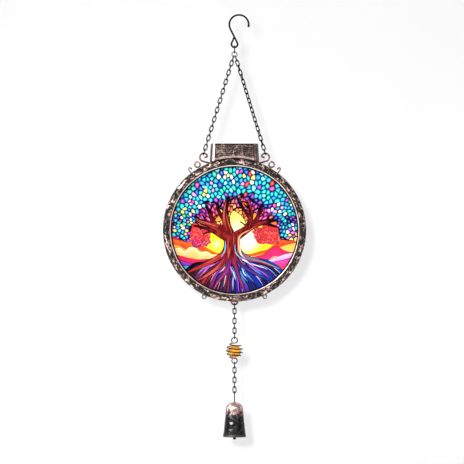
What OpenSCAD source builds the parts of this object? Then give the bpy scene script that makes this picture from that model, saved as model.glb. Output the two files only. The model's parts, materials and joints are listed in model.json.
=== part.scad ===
// Hanging wind chime: a round glazed picture in a cast ring, hung by two chains
// from an S-hook, with a caged glass bead and a small cow bell on a string below.
// Millimetres, +Z up, the picture faces -Y. The origin is on the inside of the
// hook, where the load line through the hook's eye crosses the wire.

/* [Hook] */
// Radius of the hook's arc, to the middle of the wire
hook_r = 10.8; // [10:0.1:12]
// Diameter of the hook wire
hook_wire = 2; // [1.6:0.1:2.2]
// Sideways distance from the load line to the arc's centre
hook_offset = 5; // [4:0.5:6]
// Depth of the eye's lowest wire below the origin
eye_drop = 33.8; // [32:0.2:38]
// Radius of the eye's round end, to the middle of the wire
eye_r = 3.45; // [3.2:0.05:3.8]

/* [Chain] */
// Diameter of the chain wire
link_wire = 1.2; // [1:0.05:1.25]
// Outside width of a link
link_w = 4.6; // [4.5:0.1:5]
// Distance from one link to the next along a chain
link_pitch = 5.45; // [5.2:0.05:6]
// Play between two wires that bear on each other
link_gap = 0.12; // [0.08:0.01:0.16]
// Links in each of the two hanger chains, an odd number
hanger_links = 21; // [17:2:25]
// Twist of the right hanger chain at its middle, in degrees
chain_twist = 40; // [0:5:50]

/* [Plaque] */
// Outside diameter of the cast ring
ring_d = 160; // [158:1:162]
// Diameter of the glass that shows in front
sight_d = 141.6; // [140:0.2:142]
// Thickness of the ring from front to back
ring_depth = 9.5; // [9:0.5:11]
// Thickness of the glass
glass_t = 2.6; // [2.2:0.1:2.8]
// Number of screws that hold the retaining ring
retaining_screw_count = 6; // [4:1:8]

/* [Header] */
// Half of the header's width at its front face
header_half_front = 24.3; // [22:0.1:25]
// Half of the header's width at its back face
header_half_back = 26.6; // [25.5:0.1:27]
// Height of the header's top above the ring's centre
header_top = 96.6; // [94:0.2:99]
// Depth of the header from front to back
header_depth = 11.5; // [11:0.5:13]

/* [Bead and bell] */
// Diameter of the glass bead
bead_d = 14.5; // [13:0.1:15]
// Outside diameter of the wire cage round the bead
cage_d = 19.2; // [19:0.1:20]
// Turns of the cage's spiral
cage_turns = 4.5; // [3.5:1:5.5]
// Height of the bell from crown to mouth
bell_h = 38; // [36:0.5:42]
// Width of the bell at its mouth
bell_w = 25.9; // [24:0.1:28]
// Depth of the bell at its mouth, front to back
bell_mouth_depth = 18; // [17:0.5:20]
// Wall thickness of the bell
bell_wall = 1.1; // [0.9:0.1:1.3]

/* [Hidden] */
upper_links = 7;
lower_links = 6;
$fn = 48;

black_wire = [0.09, 0.09, 0.1];
copper = [0.5, 0.32, 0.27];
dark_copper = [0.36, 0.24, 0.21];
steel = [0.62, 0.62, 0.64];

// --- the hook -------------------------------------------------------------
// The arc's centre is as far below the origin as the inner circle asks for.
hook_inner = hook_r - hook_wire / 2;
hook_centre = [hook_offset, -sqrt(hook_inner * hook_inner - hook_offset * hook_offset)];
eye_centre = [0, eye_r - eye_drop];
// The shank is the inner tangent of the arc and the eye.
hook_to_eye = eye_centre - hook_centre;
tangent_angle = acos((hook_r + eye_r) / norm(hook_to_eye));
shank_out = atan2(hook_to_eye[1], hook_to_eye[0]) - tangent_angle + 360;
shank_len = sqrt(pow(norm(hook_to_eye), 2) - pow(hook_r + eye_r, 2));
hook_tip_angle = -9;
hook_ball_d = hook_wire * 1.3;
// The eye closes up its left side and ends against the shank.
eye_turn = 229.5;
eye_close_len = 6.9;

// --- chain layout ---------------------------------------------------------
link_r = (link_w - link_wire) / 2;
link_len = link_pitch + link_gap + 2 * link_wire;
// From the middle of a link's top wire to the middle of its bottom wire
link_reach = link_len - link_wire;
// From the middle of one wire to the middle of another that hangs on it
wire_step = link_wire + link_gap;

hanger_len = 9.3;
hanger_top = -eye_drop + (hook_wire + link_wire) / 2 + link_gap;
hanger_bottom = hanger_top - (hanger_len - link_wire);

join_r = 2.9;
join_z = hanger_bottom + wire_step - join_r;
// Each hanger chain leaves the join ring this far round from its lowest point.
join_angle = 24;
oblique_gap = 0.2;
join_seat = [join_r * sin(join_angle), join_z - join_r * cos(join_angle)];

// --- scrolls, measured from the ring's centre -------------------------------
scroll_wire = 1.9;
large_scroll_r = 4.45;
large_scroll_at = [34.3, 81];
scroll_seat = [large_scroll_at[0], large_scroll_at[1] + large_scroll_r];

// --- hanger chain slope -----------------------------------------------------
top_bar_step = link_wire + oblique_gap;
bottom_bar_step = (scroll_wire + link_wire) / 2 + oblique_gap;
chain_len = (hanger_links - 1) * link_pitch + link_reach;
seat_to_seat = chain_len - top_bar_step - bottom_bar_step;
chain_angle = asin((scroll_seat[0] - join_seat[0]) / seat_to_seat);
frame_z = join_seat[1] - seat_to_seat * cos(chain_angle) - scroll_seat[1];

// --- the ring and what it holds ----------------------------------------------
ring_r = ring_d / 2;
sight_r = sight_d / 2;
// The load line runs this far behind the middle of the ring's depth.
ring_forward = 0.25;
ring_front = -ring_depth / 2 - ring_forward;
ring_back = ring_depth / 2 - ring_forward;
glass_front = -2;
print_t = 0.3;
glass_r = 73.1;
glass_play = 0.2;
ledge_y = glass_front + glass_t + print_t;
retainer_r = 76.3;
retainer_inner = 69.5;
retainer_t = 1.5;
screw_r = 74.8;
screw_d = 1.6;
screw_head_d = 2.6;
screw_head_t = 0.9;
screw_grip = 3;

// --- the header ----------------------------------------------------------------
header_proud = 1.2;
header_front = ring_front - header_proud;
header_back = header_front + header_depth;
header_flare = 1.6;
// Length of a cut that goes right through the plaque
through = 60;
header_wall = 1.8;
plate_t = 1.2;
post_at = [20.5, 88];
post_d = 4.4;

// --- lugs ------------------------------------------------------------------------
lug_wire = 1.8;
centre_lug_r = 3.55;
centre_lug_z = -79.65;
side_lug_angle = 24.5;
side_lug_hole_r = 1.5;
side_lug_hole_at = 81.75;
side_lug_half_w = 3.1;
side_lug_t = 2.4;

// --- the string -------------------------------------------------------------------
lug_bar = frame_z + centre_lug_z - centre_lug_r;
upper_top = lug_bar + (lug_wire + link_wire) / 2 + link_gap;
upper_bottom = upper_top - (upper_links - 1) * link_pitch - link_reach;

cage_wire = 1.2;
cage_r = (cage_d - cage_wire) / 2;
loop_r = 3.3;
low_loop_r = 3;
loop_open = 50;
// Height of the spiral's ends above and below the bead's centre
spiral_half = 8.2;
loop_to_spiral = 1.1;
cage_top = upper_bottom + wire_step;
loop_z = cage_top - loop_r;
cage_z = loop_z - loop_r * cos(loop_open) - loop_to_spiral - spiral_half;
low_loop_z = cage_z - spiral_half - loop_to_spiral - low_loop_r * cos(loop_open);
cage_bottom = low_loop_z - low_loop_r;
bead_rest_gap = 0.3;
bead_z = cage_z - (cage_r - cage_wire / 2 - bead_d / 2 - bead_rest_gap);

lower_top = cage_bottom + wire_step;
lower_bottom = lower_top - (lower_links - 1) * link_pitch - link_reach;

bell_eye_top = lower_bottom + wire_step;
bell_wire = 1.2;
eye_to_crown = 11.6;
crown_z = bell_eye_top - eye_to_crown;
crown_hole_r = 0.95;
crown_rise = 7;
shoulder_half_w = 9.8;
shoulder_half_d = 6.4;
stop_r = 1.9;
stop_t = 0.8;
stop_play = 0.25;
inner_eye_r = 1.5;
inner_eye_drop = 6.8;
inner_eye_z = crown_z - inner_eye_drop;
clapper_pivot = inner_eye_z - inner_eye_r;
clapper_eye_r = 1.5;
clapper_top = clapper_pivot + wire_step;
knob_d = 3.5;
knob_h = 4.6;
// The knob shows this much below the bell's mouth, and takes the rod from this far up.
knob_drop = 3.9;
knob_bore_foot = 1.2;
knob_z = crown_z - bell_h - knob_drop;

// --- wire helpers -----------------------------------------------------------------
function polar(centre, r, angle) = centre + r * [cos(angle), sin(angle)];

// Wire is bent like wire: each piece below draws itself from where the last one
// ended, and moves its children to its own end. The first one starts here, in
// the XZ plane, with the heading counted from +X towards +Z.
module wire_from(at, heading) {
    translate([at[0], 0, at[1]])
        rotate([90, 0, 0])
            rotate([0, 0, heading])
                children();
}

// A bend of the given radius; a positive turn is to the left
module bend(r, turn, d) {
    side = sign(turn);
    translate([0, side * r, 0])
        rotate([0, 0, -side * 90])
            rotate_extrude(angle = turn)
                translate([r, 0])
                    circle(d = d);
    translate([0, side * r, 0])
        rotate([0, 0, turn])
            translate([0, -side * r, 0])
                children();
}

// A straight length
module run(length, d) {
    rotate([0, 90, 0])
        cylinder(d = d, h = length);
    translate([length, 0, 0])
        children();
}

// A ball whose poles lie along the wire
module ball(d) {
    rotate([0, 90, 0])
        sphere(d = d);
}

// A hair's breadth of solder that closes the seam between two pieces
module seam(d) {
    ball(1.03 * d);
    children();
}

// A closed eye in the XZ plane
module eye(z, r, d) {
    translate([0, 0, z])
        rotate([90, 0, 0])
            rotate_extrude()
                translate([r, 0])
                    circle(d = d);
}

// One closed link in the XZ plane, hanging from its top wire at the origin
module link(outer_len = link_len) {
    straight = outer_len - link_w;
    wire_from([-link_r, -link_r], 90)
        bend(link_r, -180, link_wire)
            run(straight, link_wire)
                bend(link_r, -180, link_wire)
                    run(straight, link_wire);
}

// Moves its children from the ring's centre to their place in the whole
module at_frame() {
    translate([0, 0, frame_z])
        children();
}

// --- hook and the pieces on it ------------------------------------------------------
module s_hook() {
    color(black_wire)
        wire_from(polar(hook_centre, hook_r, hook_tip_angle), hook_tip_angle + 90) {
            ball(hook_ball_d);
            bend(hook_r, shank_out - hook_tip_angle, hook_wire)
                seam(hook_wire)
                    run(shank_len, hook_wire)
                        seam(hook_wire)
                            bend(eye_r, -eye_turn, hook_wire)
                                seam(hook_wire)
                                    run(eye_close_len, hook_wire);
        }
}

module hanger_link() {
    color(black_wire)
        translate([0, 0, hanger_top])
            rotate([0, 0, 90])
                link(hanger_len);
}

module join_ring() {
    color(steel)
        eye(join_z, join_r, link_wire);
}

// The right-hand chain; links lie alternately edge-on and face-on, with a slow twist
module hanger_chain(twist) {
    color(black_wire)
        translate([join_seat[0], 0, join_seat[1]])
            rotate([0, -chain_angle, 0])
                for (i = [0:hanger_links - 1])
                    translate([0, 0, top_bar_step - i * link_pitch])
                        rotate([0, 0, 90 * (i + 1) + twist * sin(180 * i / (hanger_links - 1))])
                            link();
}

module left_chain() {
    mirror([1, 0, 0])
        hanger_chain(0);
}

module right_chain() {
    hanger_chain(chain_twist);
}

// --- the plaque -----------------------------------------------------------------------
// Turns a profile of [radius, depth] round the ring's axis, front towards -Y
module turned(profile) {
    rotate([-90, 0, 0])
        rotate_extrude($fn = 180)
            polygon(profile);
}

// The ring's outer form, closed across the middle: what is brazed on it is cut to it
module ring_blank() {
    turned([
        [0, ring_front], [ring_r - 4, ring_front], [ring_r - 1.4, ring_front + 0.9],
        [ring_r, ring_front + 2.6], [ring_r, ring_back - 1.2], [ring_r - 1, ring_back], [0, ring_back]
    ]);
}

module screw_places(count, r) {
    for (i = [0:count - 1])
        rotate([0, (i + 0.5) * 360 / count, 0])
            translate([0, 0, r])
                children();
}

// A pan-head screw along Y, its head at the back and its shank towards -Y
module pan_screw(grip) {
    slot = 0.45;
    difference() {
        union() {
            rotate([-90, 0, 0])
                cylinder(d = screw_head_d, h = screw_head_t);
            rotate([90, 0, 0])
                cylinder(d = screw_d, h = grip);
        }
        for (turn = [0, 90])
            rotate([0, turn, 0])
                translate([-screw_head_d * 0.3, screw_head_t / 2, -slot / 2])
                    cube([screw_head_d * 0.6, screw_head_t, slot]);
    }
}

module frame_ring() {
    lip = 0.9;
    pocket_r = glass_r + glass_play;
    shelf_r = retainer_r + glass_play;
    color(dark_copper)
        at_frame()
            difference() {
                turned([
                    [sight_r, glass_front], [sight_r, ring_front + 0.8], [sight_r + lip, ring_front + 0.2],
                    [sight_r + lip + 0.4, ring_front + 0.7], [sight_r + 2.4, ring_front + 0.1],
                    [ring_r - 5, ring_front], [ring_r - 4, ring_front], [ring_r - 1.4, ring_front + 0.9],
                    [ring_r, ring_front + 2.6], [ring_r, ring_back - 1.2], [ring_r - 1, ring_back],
                    [shelf_r, ring_back], [shelf_r, ledge_y], [pocket_r, ledge_y], [pocket_r, glass_front]
                ]);
                screw_places(retaining_screw_count, screw_r)
                    translate([0, ledge_y, 0])
                        rotate([90, 0, 0])
                            cylinder(d = screw_d, h = screw_grip);
            }
}

module glass_pane() {
    color([0.75, 0.85, 0.9, 0.4])
        at_frame()
            turned([[0, glass_front], [glass_r, glass_front],
                [glass_r, glass_front + glass_t], [0, glass_front + glass_t]]);
}

module picture_print() {
    color([0.15, 0.55, 0.8])
        at_frame()
            turned([[0, glass_front + glass_t], [glass_r, glass_front + glass_t],
                [glass_r, ledge_y], [0, ledge_y]]);
}

module retaining_ring() {
    color(copper)
        at_frame()
            difference() {
                turned([[retainer_inner, ledge_y], [retainer_r, ledge_y],
                    [retainer_r, ledge_y + retainer_t], [retainer_inner, ledge_y + retainer_t]]);
                screw_places(retaining_screw_count, screw_r)
                    translate([0, ledge_y + retainer_t + 1, 0])
                        rotate([90, 0, 0])
                            cylinder(d = screw_d, h = retainer_t + 2);
            }
}

module retaining_screws() {
    color(steel)
        at_frame()
            screw_places(retaining_screw_count, screw_r)
                translate([0, ledge_y + retainer_t, 0])
                    pan_screw(retainer_t + screw_grip);
}

// --- the header ---------------------------------------------------------------------------
// A tapered block: the front outline is smaller than the back one by the given insets
module header_block(inset, front_y, back_y) {
    slab = 0.01;
    foot = 68;
    top_drop = 0.6;
    taper = (header_half_back - header_half_front) / header_depth;
    hull()
        for (y = [front_y, back_y - slab]) {
            half = header_half_front + taper * (y - header_front) - inset;
            top = header_top - top_drop * (header_back - y) / header_depth - inset;
            translate([0, y + slab, 0])
                rotate([90, 0, 0])
                    linear_extrude(slab)
                        polygon([[-half, top], [half, top],
                            [half + header_flare, foot], [-half - header_flare, foot]]);
        }
}

// The space inside a radius round the ring's axis, deeper than any part of the plaque
module round_core(r) {
    rotate([90, 0, 0])
        cylinder(r = r, h = through, center = true, $fn = 180);
}

module post_places() {
    for (side = [-1, 1])
        translate([side * post_at[0], 0, post_at[1]])
            children();
}

module header_shell() {
    plate_seat = header_back - plate_t;
    color(dark_copper)
        at_frame()
            difference() {
                header_block(0, header_front, header_back);
                difference() {
                    header_block(header_wall, header_front + header_wall, header_back + 1);
                    round_core(ring_r + header_wall);
                    post_places()
                        translate([0, plate_seat, 0])
                            rotate([90, 0, 0])
                                cylinder(d = post_d, h = header_depth);
                }
                post_places()
                    translate([0, header_back, 0])
                        rotate([90, 0, 0])
                            cylinder(d = screw_d, h = plate_t + screw_grip);
                round_core(ring_r);
            }
}

module header_back_plate() {
    plate_gap = 0.15;
    color(copper)
        at_frame()
            difference() {
                header_block(header_wall + plate_gap, header_back - plate_t, header_back);
                round_core(ring_r + header_wall + plate_gap);
                post_places()
                    rotate([90, 0, 0])
                        cylinder(d = screw_d, h = through, center = true);
            }
}

module header_screws() {
    color(steel)
        at_frame()
            post_places()
                translate([0, header_back, 0])
                    pan_screw(plate_t + screw_grip);
}

// --- scrollwork, drawn for the right-hand side ------------------------------------------------
// Cuts a brazed-on piece to the outside of the ring that it stands on
module brazed() {
    color(copper)
        at_frame()
            difference() {
                children();
                round_core(ring_r);
            }
}

// A C-scroll whose tail lies along the ring and whose other end curls in to a bead
module large_scroll() {
    tail_angle = -75;
    tail_len = 8.6;
    tip_angle = 140;
    curl_r = 1.75;
    tail_top = polar(large_scroll_at, large_scroll_r, tail_angle);
    brazed()
        wire_from(polar(tail_top, tail_len, tail_angle - 90), tail_angle + 90)
            run(tail_len, scroll_wire)
                seam(scroll_wire)
                    bend(large_scroll_r, tip_angle - tail_angle, scroll_wire)
                        seam(scroll_wire)
                            bend(curl_r, 145, scroll_wire)
                                ball(scroll_wire * 1.2);
}

// A spiral that rests on the ring, with a bead at each end
module middle_scroll() {
    wire = 1.7;
    at = [41.3, 73];
    r = 3;
    curl_r = 1.2;
    curl_turn = 60;
    from = -190;
    curl_at = polar(at, r - curl_r, from);
    brazed()
        wire_from(polar(curl_at, curl_r, from - curl_turn), from - curl_turn + 90) {
            ball(wire * 1.1);
            bend(curl_r, curl_turn, wire)
                seam(wire)
                    bend(r, 285, wire)
                        ball(wire * 1.3);
        }
}

// A stem that curls over to a bead
module small_scroll() {
    wire = 1.4;
    at = [49.7, 67.9];
    r = 1.5;
    from = -35;
    stem = 5.2;
    brazed()
        wire_from(polar(polar(at, r, from), stem, from - 90), from + 90)
            run(stem, wire)
                seam(wire)
                    bend(r, 205, wire)
                        ball(wire * 1.35);
}

module mirrored() {
    mirror([1, 0, 0])
        children();
}

// --- lugs ---------------------------------------------------------------------------------------
// A drilled tab at the ring's foot; the hole is clear of the ring
module side_lug() {
    base = 3;
    tip_r = side_lug_half_w - 0.6;
    color(dark_copper)
        at_frame()
            difference() {
                rotate([0, -side_lug_angle, 0])
                    rotate([90, 0, 0])
                        difference() {
                            linear_extrude(side_lug_t, center = true)
                                union() {
                                    translate([0, -side_lug_hole_at])
                                        circle(r = tip_r);
                                    polygon([[-tip_r, -side_lug_hole_at], [tip_r, -side_lug_hole_at],
                                        [side_lug_half_w + 0.6, base - ring_r],
                                        [-side_lug_half_w - 0.6, base - ring_r]]);
                                }
                            translate([0, -side_lug_hole_at, 0])
                                cylinder(r = side_lug_hole_r, h = side_lug_t + 1, center = true);
                        }
                round_core(ring_r);
            }
}

// A wire loop that stands out of the ring's foot and carries the string
module centre_lug() {
    leg = 3;
    brazed()
        wire_from([-centre_lug_r, centre_lug_z + leg], -90)
            run(leg, lug_wire)
                bend(centre_lug_r, 180, lug_wire)
                    run(leg, lug_wire);
}

// A small pad on the ring's face over the centre lug
module lug_plate() {
    width = 8.6;
    height = 3.4;
    depth = 3.2;
    rise = 0.7;
    foot = 0.3;
    color(copper)
        at_frame()
            difference() {
                translate([-width / 2, ring_front - rise, -ring_r - foot])
                    cube([width, depth, height]);
                ring_blank();
            }
}

// --- the string -----------------------------------------------------------------------------------
// Link number i of a chain that starts edge-on at the given height
module string_link(top, i) {
    color(black_wire)
        translate([0, 0, top - (i - 1) * link_pitch])
            rotate([0, 0, 90 * i])
                link();
}

// Points between two ends that leave with the given directions
function joined(p0, t0, p1, t1, steps) = [
    for (i = [1:steps - 1])
        let (s = i / steps)
            (2 * s * s * s - 3 * s * s + 1) * p0 + (s * s * s - 2 * s * s + s) * t0
            + (3 * s * s - 2 * s * s * s) * p1 + (s * s * s - s * s) * t1
];

function loop_point(z, r, a) = [r * sin(a), 0, z + r * cos(a)];
function loop_dir(a) = [cos(a), 0, -sin(a)];
// The spiral runs from one end of the bead to the other; s goes from 0 to 1
function spiral_point(s) =
    let (h = spiral_half * (1 - 2 * s), r = sqrt(cage_r * cage_r - h * h), a = 90 + 360 * cage_turns * s)
        [r * cos(a), r * sin(a), cage_z + h];

spiral_steps = 90;
loop_steps = 22;
loop_span = 360 - 2 * loop_open;
cage_path = concat(
    [for (i = [0:loop_steps]) loop_point(loop_z, loop_r, -180 + loop_open + i * loop_span / loop_steps)],
    joined(loop_point(loop_z, loop_r, 180 - loop_open), 4 * loop_dir(180 - loop_open),
        spiral_point(0), 4 * [-1, 0, -0.1], 6),
    [for (i = [0:spiral_steps]) spiral_point(i / spiral_steps)],
    joined(spiral_point(1), 4 * [1, 0, -0.1],
        loop_point(low_loop_z, low_loop_r, loop_open), 4 * loop_dir(loop_open), 6),
    [for (i = [0:loop_steps]) loop_point(low_loop_z, low_loop_r, loop_open + i * loop_span / loop_steps)]
);

function unit(v) = v / norm(v);
function path_dir(path, i) =
    unit(path[min(i + 1, len(path) - 1)] - path[max(i - 1, 0)]);
// A side direction for each ring, carried along the path so that the tube doesn't twist
function carried(path) = [
    for (i = 0, side = unit(cross(path_dir(path, 0), [0.3, 1, 0.2]));
        i < len(path);
        i = i + 1,
        ahead = path_dir(path, min(i, len(path) - 1)),
        side = unit(side - (side * ahead) * ahead))
        side
];

// A round wire along a path, as a tube with the given number of sides
module wire_along(path, d, sides) {
    side = carried(path);
    last = len(path) - 1;
    points = [
        for (i = [0:last], k = [0:sides - 1])
            let (up = cross(path_dir(path, i), side[i]), a = 360 * k / sides)
                path[i] + d / 2 * (cos(a) * side[i] + sin(a) * up)
    ];
    walls = [
        for (i = [0:last - 1], k = [0:sides - 1])
            let (n = (k + 1) % sides)
                each [[i * sides + k, (i + 1) * sides + n, i * sides + n],
                    [i * sides + k, (i + 1) * sides + k, (i + 1) * sides + n]]
    ];
    caps = [[for (k = [0:sides - 1]) k], [for (k = [sides - 1:-1:0]) last * sides + k]];
    polyhedron(points, concat(walls, caps));
}

module bead_cage() {
    color(black_wire)
        wire_along(cage_path, cage_wire, 8);
}

module glass_bead() {
    color([0.95, 0.6, 0.1, 0.8])
        translate([0, 0, bead_z])
            sphere(d = bead_d);
}

// --- the bell ----------------------------------------------------------------------------------------
module bell_hanger_wire() {
    top_eye_z = bell_eye_top - link_r;
    stop_z = crown_z - bell_wall - stop_play - stop_t;
    color(black_wire)
        rotate([0, 0, 90]) {
            eye(top_eye_z, link_r, bell_wire);
            eye(inner_eye_z, inner_eye_r, bell_wire);
            translate([0, 0, inner_eye_z + inner_eye_r])
                cylinder(d = bell_wire, h = top_eye_z - link_r - inner_eye_z - inner_eye_r);
            translate([0, 0, stop_z])
                cylinder(r = stop_r, h = stop_t);
        }
}

// One level of the bell: [depth below the crown, half width, half depth, squareness].
// Squareness 2 is an ellipse; the walls are squarer. The dome is a little fuller front
// to back than a plain ellipse.
ellipse = 2;
wall_squareness = 3.2;
dome_fullness = 0.3;
function dome_level(a, t) = [
    t + (crown_rise - t) * (1 - cos(a)),
    (shoulder_half_w - t) * sin(a),
    (shoulder_half_d - t) * sin(a)
        + dome_fullness * (1 - sin(a)) * shoulder_half_d * sin(2 * a),
    ellipse + (wall_squareness - ellipse) * sin(a)
];
function side_level(s, t) = [
    crown_rise + s * (bell_h - crown_rise),
    shoulder_half_w + s * (bell_w / 2 - shoulder_half_w) - t,
    shoulder_half_d + s * (bell_mouth_depth / 2 - shoulder_half_d) - t,
    wall_squareness
];
// The dome's first level is this many degrees from the crown's middle.
dome_start = 27.5;
dome_steps = 6;
side_steps = 3;
function bell_skin(t) = concat(
    [[t, crown_hole_r, crown_hole_r, ellipse]],
    [for (i = [0:dome_steps - 1])
        dome_level(dome_start + (90 - dome_start) * i / (dome_steps - 1), t)],
    [for (i = [1:side_steps]) side_level(i / side_steps, t)]
);
function reversed(list) = [for (i = [len(list) - 1:-1:0]) list[i]];
function signed_power(v, p) = sign(v) * pow(abs(v), p);
function bell_ring(level, sides) = [
    for (k = [0:sides - 1])
        let (a = 360 * (k + 0.5) / sides)
            [level[1] * signed_power(cos(a), 2 / level[3]),
            level[2] * signed_power(sin(a), 2 / level[3]),
            crown_z - level[0]]
];

module bell_shell() {
    sides = 40;
    levels = concat(bell_skin(0), reversed(bell_skin(bell_wall)));
    count = len(levels);
    points = [for (level = levels) each bell_ring(level, sides)];
    faces = [
        for (i = [0:count - 1], k = [0:sides - 1])
            let (n = (k + 1) % sides, j = (i + 1) % count)
                each [[i * sides + k, i * sides + n, j * sides + n],
                    [i * sides + k, j * sides + n, j * sides + k]]
    ];
    color([0.3, 0.25, 0.25])
        polyhedron(points, faces);
}

module clapper_rod() {
    eye_z = clapper_top - clapper_eye_r;
    color(black_wire) {
        eye(eye_z, clapper_eye_r, bell_wire);
        translate([0, 0, knob_z + knob_bore_foot])
            cylinder(d = bell_wire, h = eye_z - clapper_eye_r - knob_z - knob_bore_foot);
    }
}

module clapper_knob() {
    color(black_wire)
        difference() {
            translate([0, 0, knob_z])
                rotate_extrude()
                    polygon([[0, 0], [0.9, 0], [1.5, 0.5], [knob_d / 2, 1.3],
                        [knob_d / 2, 2.4], [1.3, 3.8], [0.9, knob_h], [0, knob_h]]);
            translate([0, 0, knob_z + knob_bore_foot])
                cylinder(d = bell_wire, h = knob_h);
        }
}

s_hook();
hanger_link();
join_ring();
left_chain();
right_chain();
frame_ring();
glass_pane();
picture_print();
retaining_ring();
retaining_screws();
header_shell();
header_back_plate();
header_screws();
mirrored() large_scroll();  // left_large_scroll
large_scroll();  // right_large_scroll
mirrored() middle_scroll();  // left_middle_scroll
middle_scroll();  // right_middle_scroll
mirrored() small_scroll();  // left_small_scroll
small_scroll();  // right_small_scroll
mirrored() side_lug();  // left_lug
centre_lug();
lug_plate();
side_lug();  // right_lug
for (i = [1:upper_links])
    string_link(upper_top, i);
bead_cage();
glass_bead();
for (i = [1:lower_links])
    string_link(lower_top, i);
bell_hanger_wire();
bell_shell();
clapper_rod();
clapper_knob();
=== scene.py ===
"""Hanging wind chime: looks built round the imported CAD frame. Metres, +Z up, the picture faces -Y."""
import json
import random
from math import atan2, copysign, cos, floor, hypot, pi, radians, sin, sqrt

import bpy
import numpy as np
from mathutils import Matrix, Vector, noise


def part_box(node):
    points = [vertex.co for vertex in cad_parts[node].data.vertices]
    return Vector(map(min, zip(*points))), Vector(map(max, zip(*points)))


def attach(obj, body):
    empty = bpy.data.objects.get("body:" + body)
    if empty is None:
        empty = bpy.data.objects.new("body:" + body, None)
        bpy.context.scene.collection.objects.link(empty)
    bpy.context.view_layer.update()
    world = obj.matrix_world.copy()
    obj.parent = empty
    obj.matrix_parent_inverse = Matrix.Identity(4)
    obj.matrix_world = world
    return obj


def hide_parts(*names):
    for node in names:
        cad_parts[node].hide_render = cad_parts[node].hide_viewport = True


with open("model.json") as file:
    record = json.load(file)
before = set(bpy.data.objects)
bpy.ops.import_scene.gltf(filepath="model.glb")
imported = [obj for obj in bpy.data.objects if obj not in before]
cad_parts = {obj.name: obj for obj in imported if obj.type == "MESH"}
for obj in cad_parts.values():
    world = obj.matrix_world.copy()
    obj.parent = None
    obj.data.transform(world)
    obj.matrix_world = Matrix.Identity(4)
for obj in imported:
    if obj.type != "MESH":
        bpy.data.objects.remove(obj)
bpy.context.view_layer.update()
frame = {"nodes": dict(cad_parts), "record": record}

MM = 0.001
nodes = frame["nodes"]
scene = bpy.context.scene


# --- places, from the CAD ---
def box_mm(node):
    """The low and high corners of a CAD node's box, in millimetres."""
    return np.array(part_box(node)) / MM


def span(low_high, axis):
    """How far a box reaches along an axis."""
    return low_high[1][axis] - low_high[0][axis]


RING_BOX = box_mm("frame_ring")
RING_Z = RING_BOX[:, 2].mean()
RING_R = span(RING_BOX, 2) / 2


def placed(name, data):
    """A new object in the scene."""
    made = bpy.data.objects.new(name, data)
    scene.collection.objects.link(made)
    return made


# --- camera ---
LENS, SENSOR = 85, 36
FRAME_WIDTH = 0.5174  # what the picture's width covers at the load line
CAM_X, CAM_Z = -0.0028, -0.2397
CAM_DISTANCE = FRAME_WIDTH * LENS / SENSOR
cam_data = bpy.data.cameras.new("camera")
cam_data.lens = LENS
cam_data.sensor_width = SENSOR
cam_data.clip_start = 0.05
camera = placed("camera", cam_data)
camera.location = (CAM_X, -CAM_DISTANCE, CAM_Z)
camera.rotation_euler = (pi / 2, 0, 0)
scene.camera = camera


# --- material helpers ---
class Tree:
    """A material's node tree, with short calls to add nodes and join them."""

    def __init__(self, name):
        self.material = bpy.data.materials.new(name)
        self.material.use_nodes = True
        self.tree = self.material.node_tree
        self.tree.nodes.clear()
        self.out = self.tree.nodes.new("ShaderNodeOutputMaterial")
        self.coords = self.add("ShaderNodeTexCoord").outputs["Object"]

    def add(self, kind, inputs=None, **settings):
        node = self.tree.nodes.new(kind)
        for key, value in settings.items():
            setattr(node, key, value)
        for key, value in (inputs or {}).items():
            self.put(node.inputs[key], value)
        return node

    def put(self, socket, value):
        if isinstance(value, bpy.types.NodeSocket):
            self.tree.links.new(value, socket)
        else:
            socket.default_value = value

    def noise(self, size_mm, detail=3.0, roughness=0.55, distortion=0.0, stretch=None, seed=0.0):
        """Noise from 0 to 1 with features of the given size, stretched by per-axis factors if asked."""
        where = self.coords
        if stretch:
            where = self.add("ShaderNodeMapping", {"Vector": where, "Scale": stretch}).outputs["Vector"]
        inputs = {"Vector": where, "W": seed, "Scale": 1000 / size_mm, "Detail": detail,
                  "Roughness": roughness, "Distortion": distortion}
        return self.add("ShaderNodeTexNoise", inputs, noise_dimensions="4D").outputs["Fac"]

    def ramp(self, value, *stops):
        """Colour or grey by value: stops are (position, colour or number)."""
        node = self.add("ShaderNodeValToRGB", {"Fac": value})
        ramp = node.color_ramp
        while len(ramp.elements) < len(stops):
            ramp.elements.new(0.5)
        for element, (position, colour) in zip(ramp.elements, stops):
            element.position = position
            element.color = (colour,) * 3 + (1,) if isinstance(colour, (int, float)) else (*colour, 1)
        return node.outputs["Color"]

    def mix(self, fac, a, b, blend="MIX"):
        node = self.add("ShaderNodeMix", data_type="RGBA", blend_type=blend, clamp_factor=True)
        for index, value in ((0, fac), (6, a), (7, b)):
            self.put(node.inputs[index], (*value, 1) if isinstance(value, tuple) else value)
        return node.outputs[2]

    def maths(self, operation, a, b):
        return self.add("ShaderNodeMath", {0: a, 1: b}, operation=operation).outputs[0]

    def swayed(self, value, by, share):
        """A value moved up and down by a noise: value + share * (by - 0.5)."""
        return self.maths("ADD", value, self.maths("MULTIPLY", self.maths("SUBTRACT", by, 0.5), share))

    def bump(self, height, depth_mm, strength):
        inputs = {"Height": height, "Distance": depth_mm * MM, "Strength": strength}
        return self.add("ShaderNodeBump", inputs).outputs["Normal"]

    def attribute(self, name, output="Fac"):
        return self.add("ShaderNodeAttribute", attribute_name=name).outputs[output]

    def principled(self, **inputs):
        names = {k.replace("_", " "): v for k, v in inputs.items()}
        node = self.add("ShaderNodeBsdfPrincipled", names)
        self.tree.links.new(node.outputs["BSDF"], self.out.inputs["Surface"])
        return node


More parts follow.
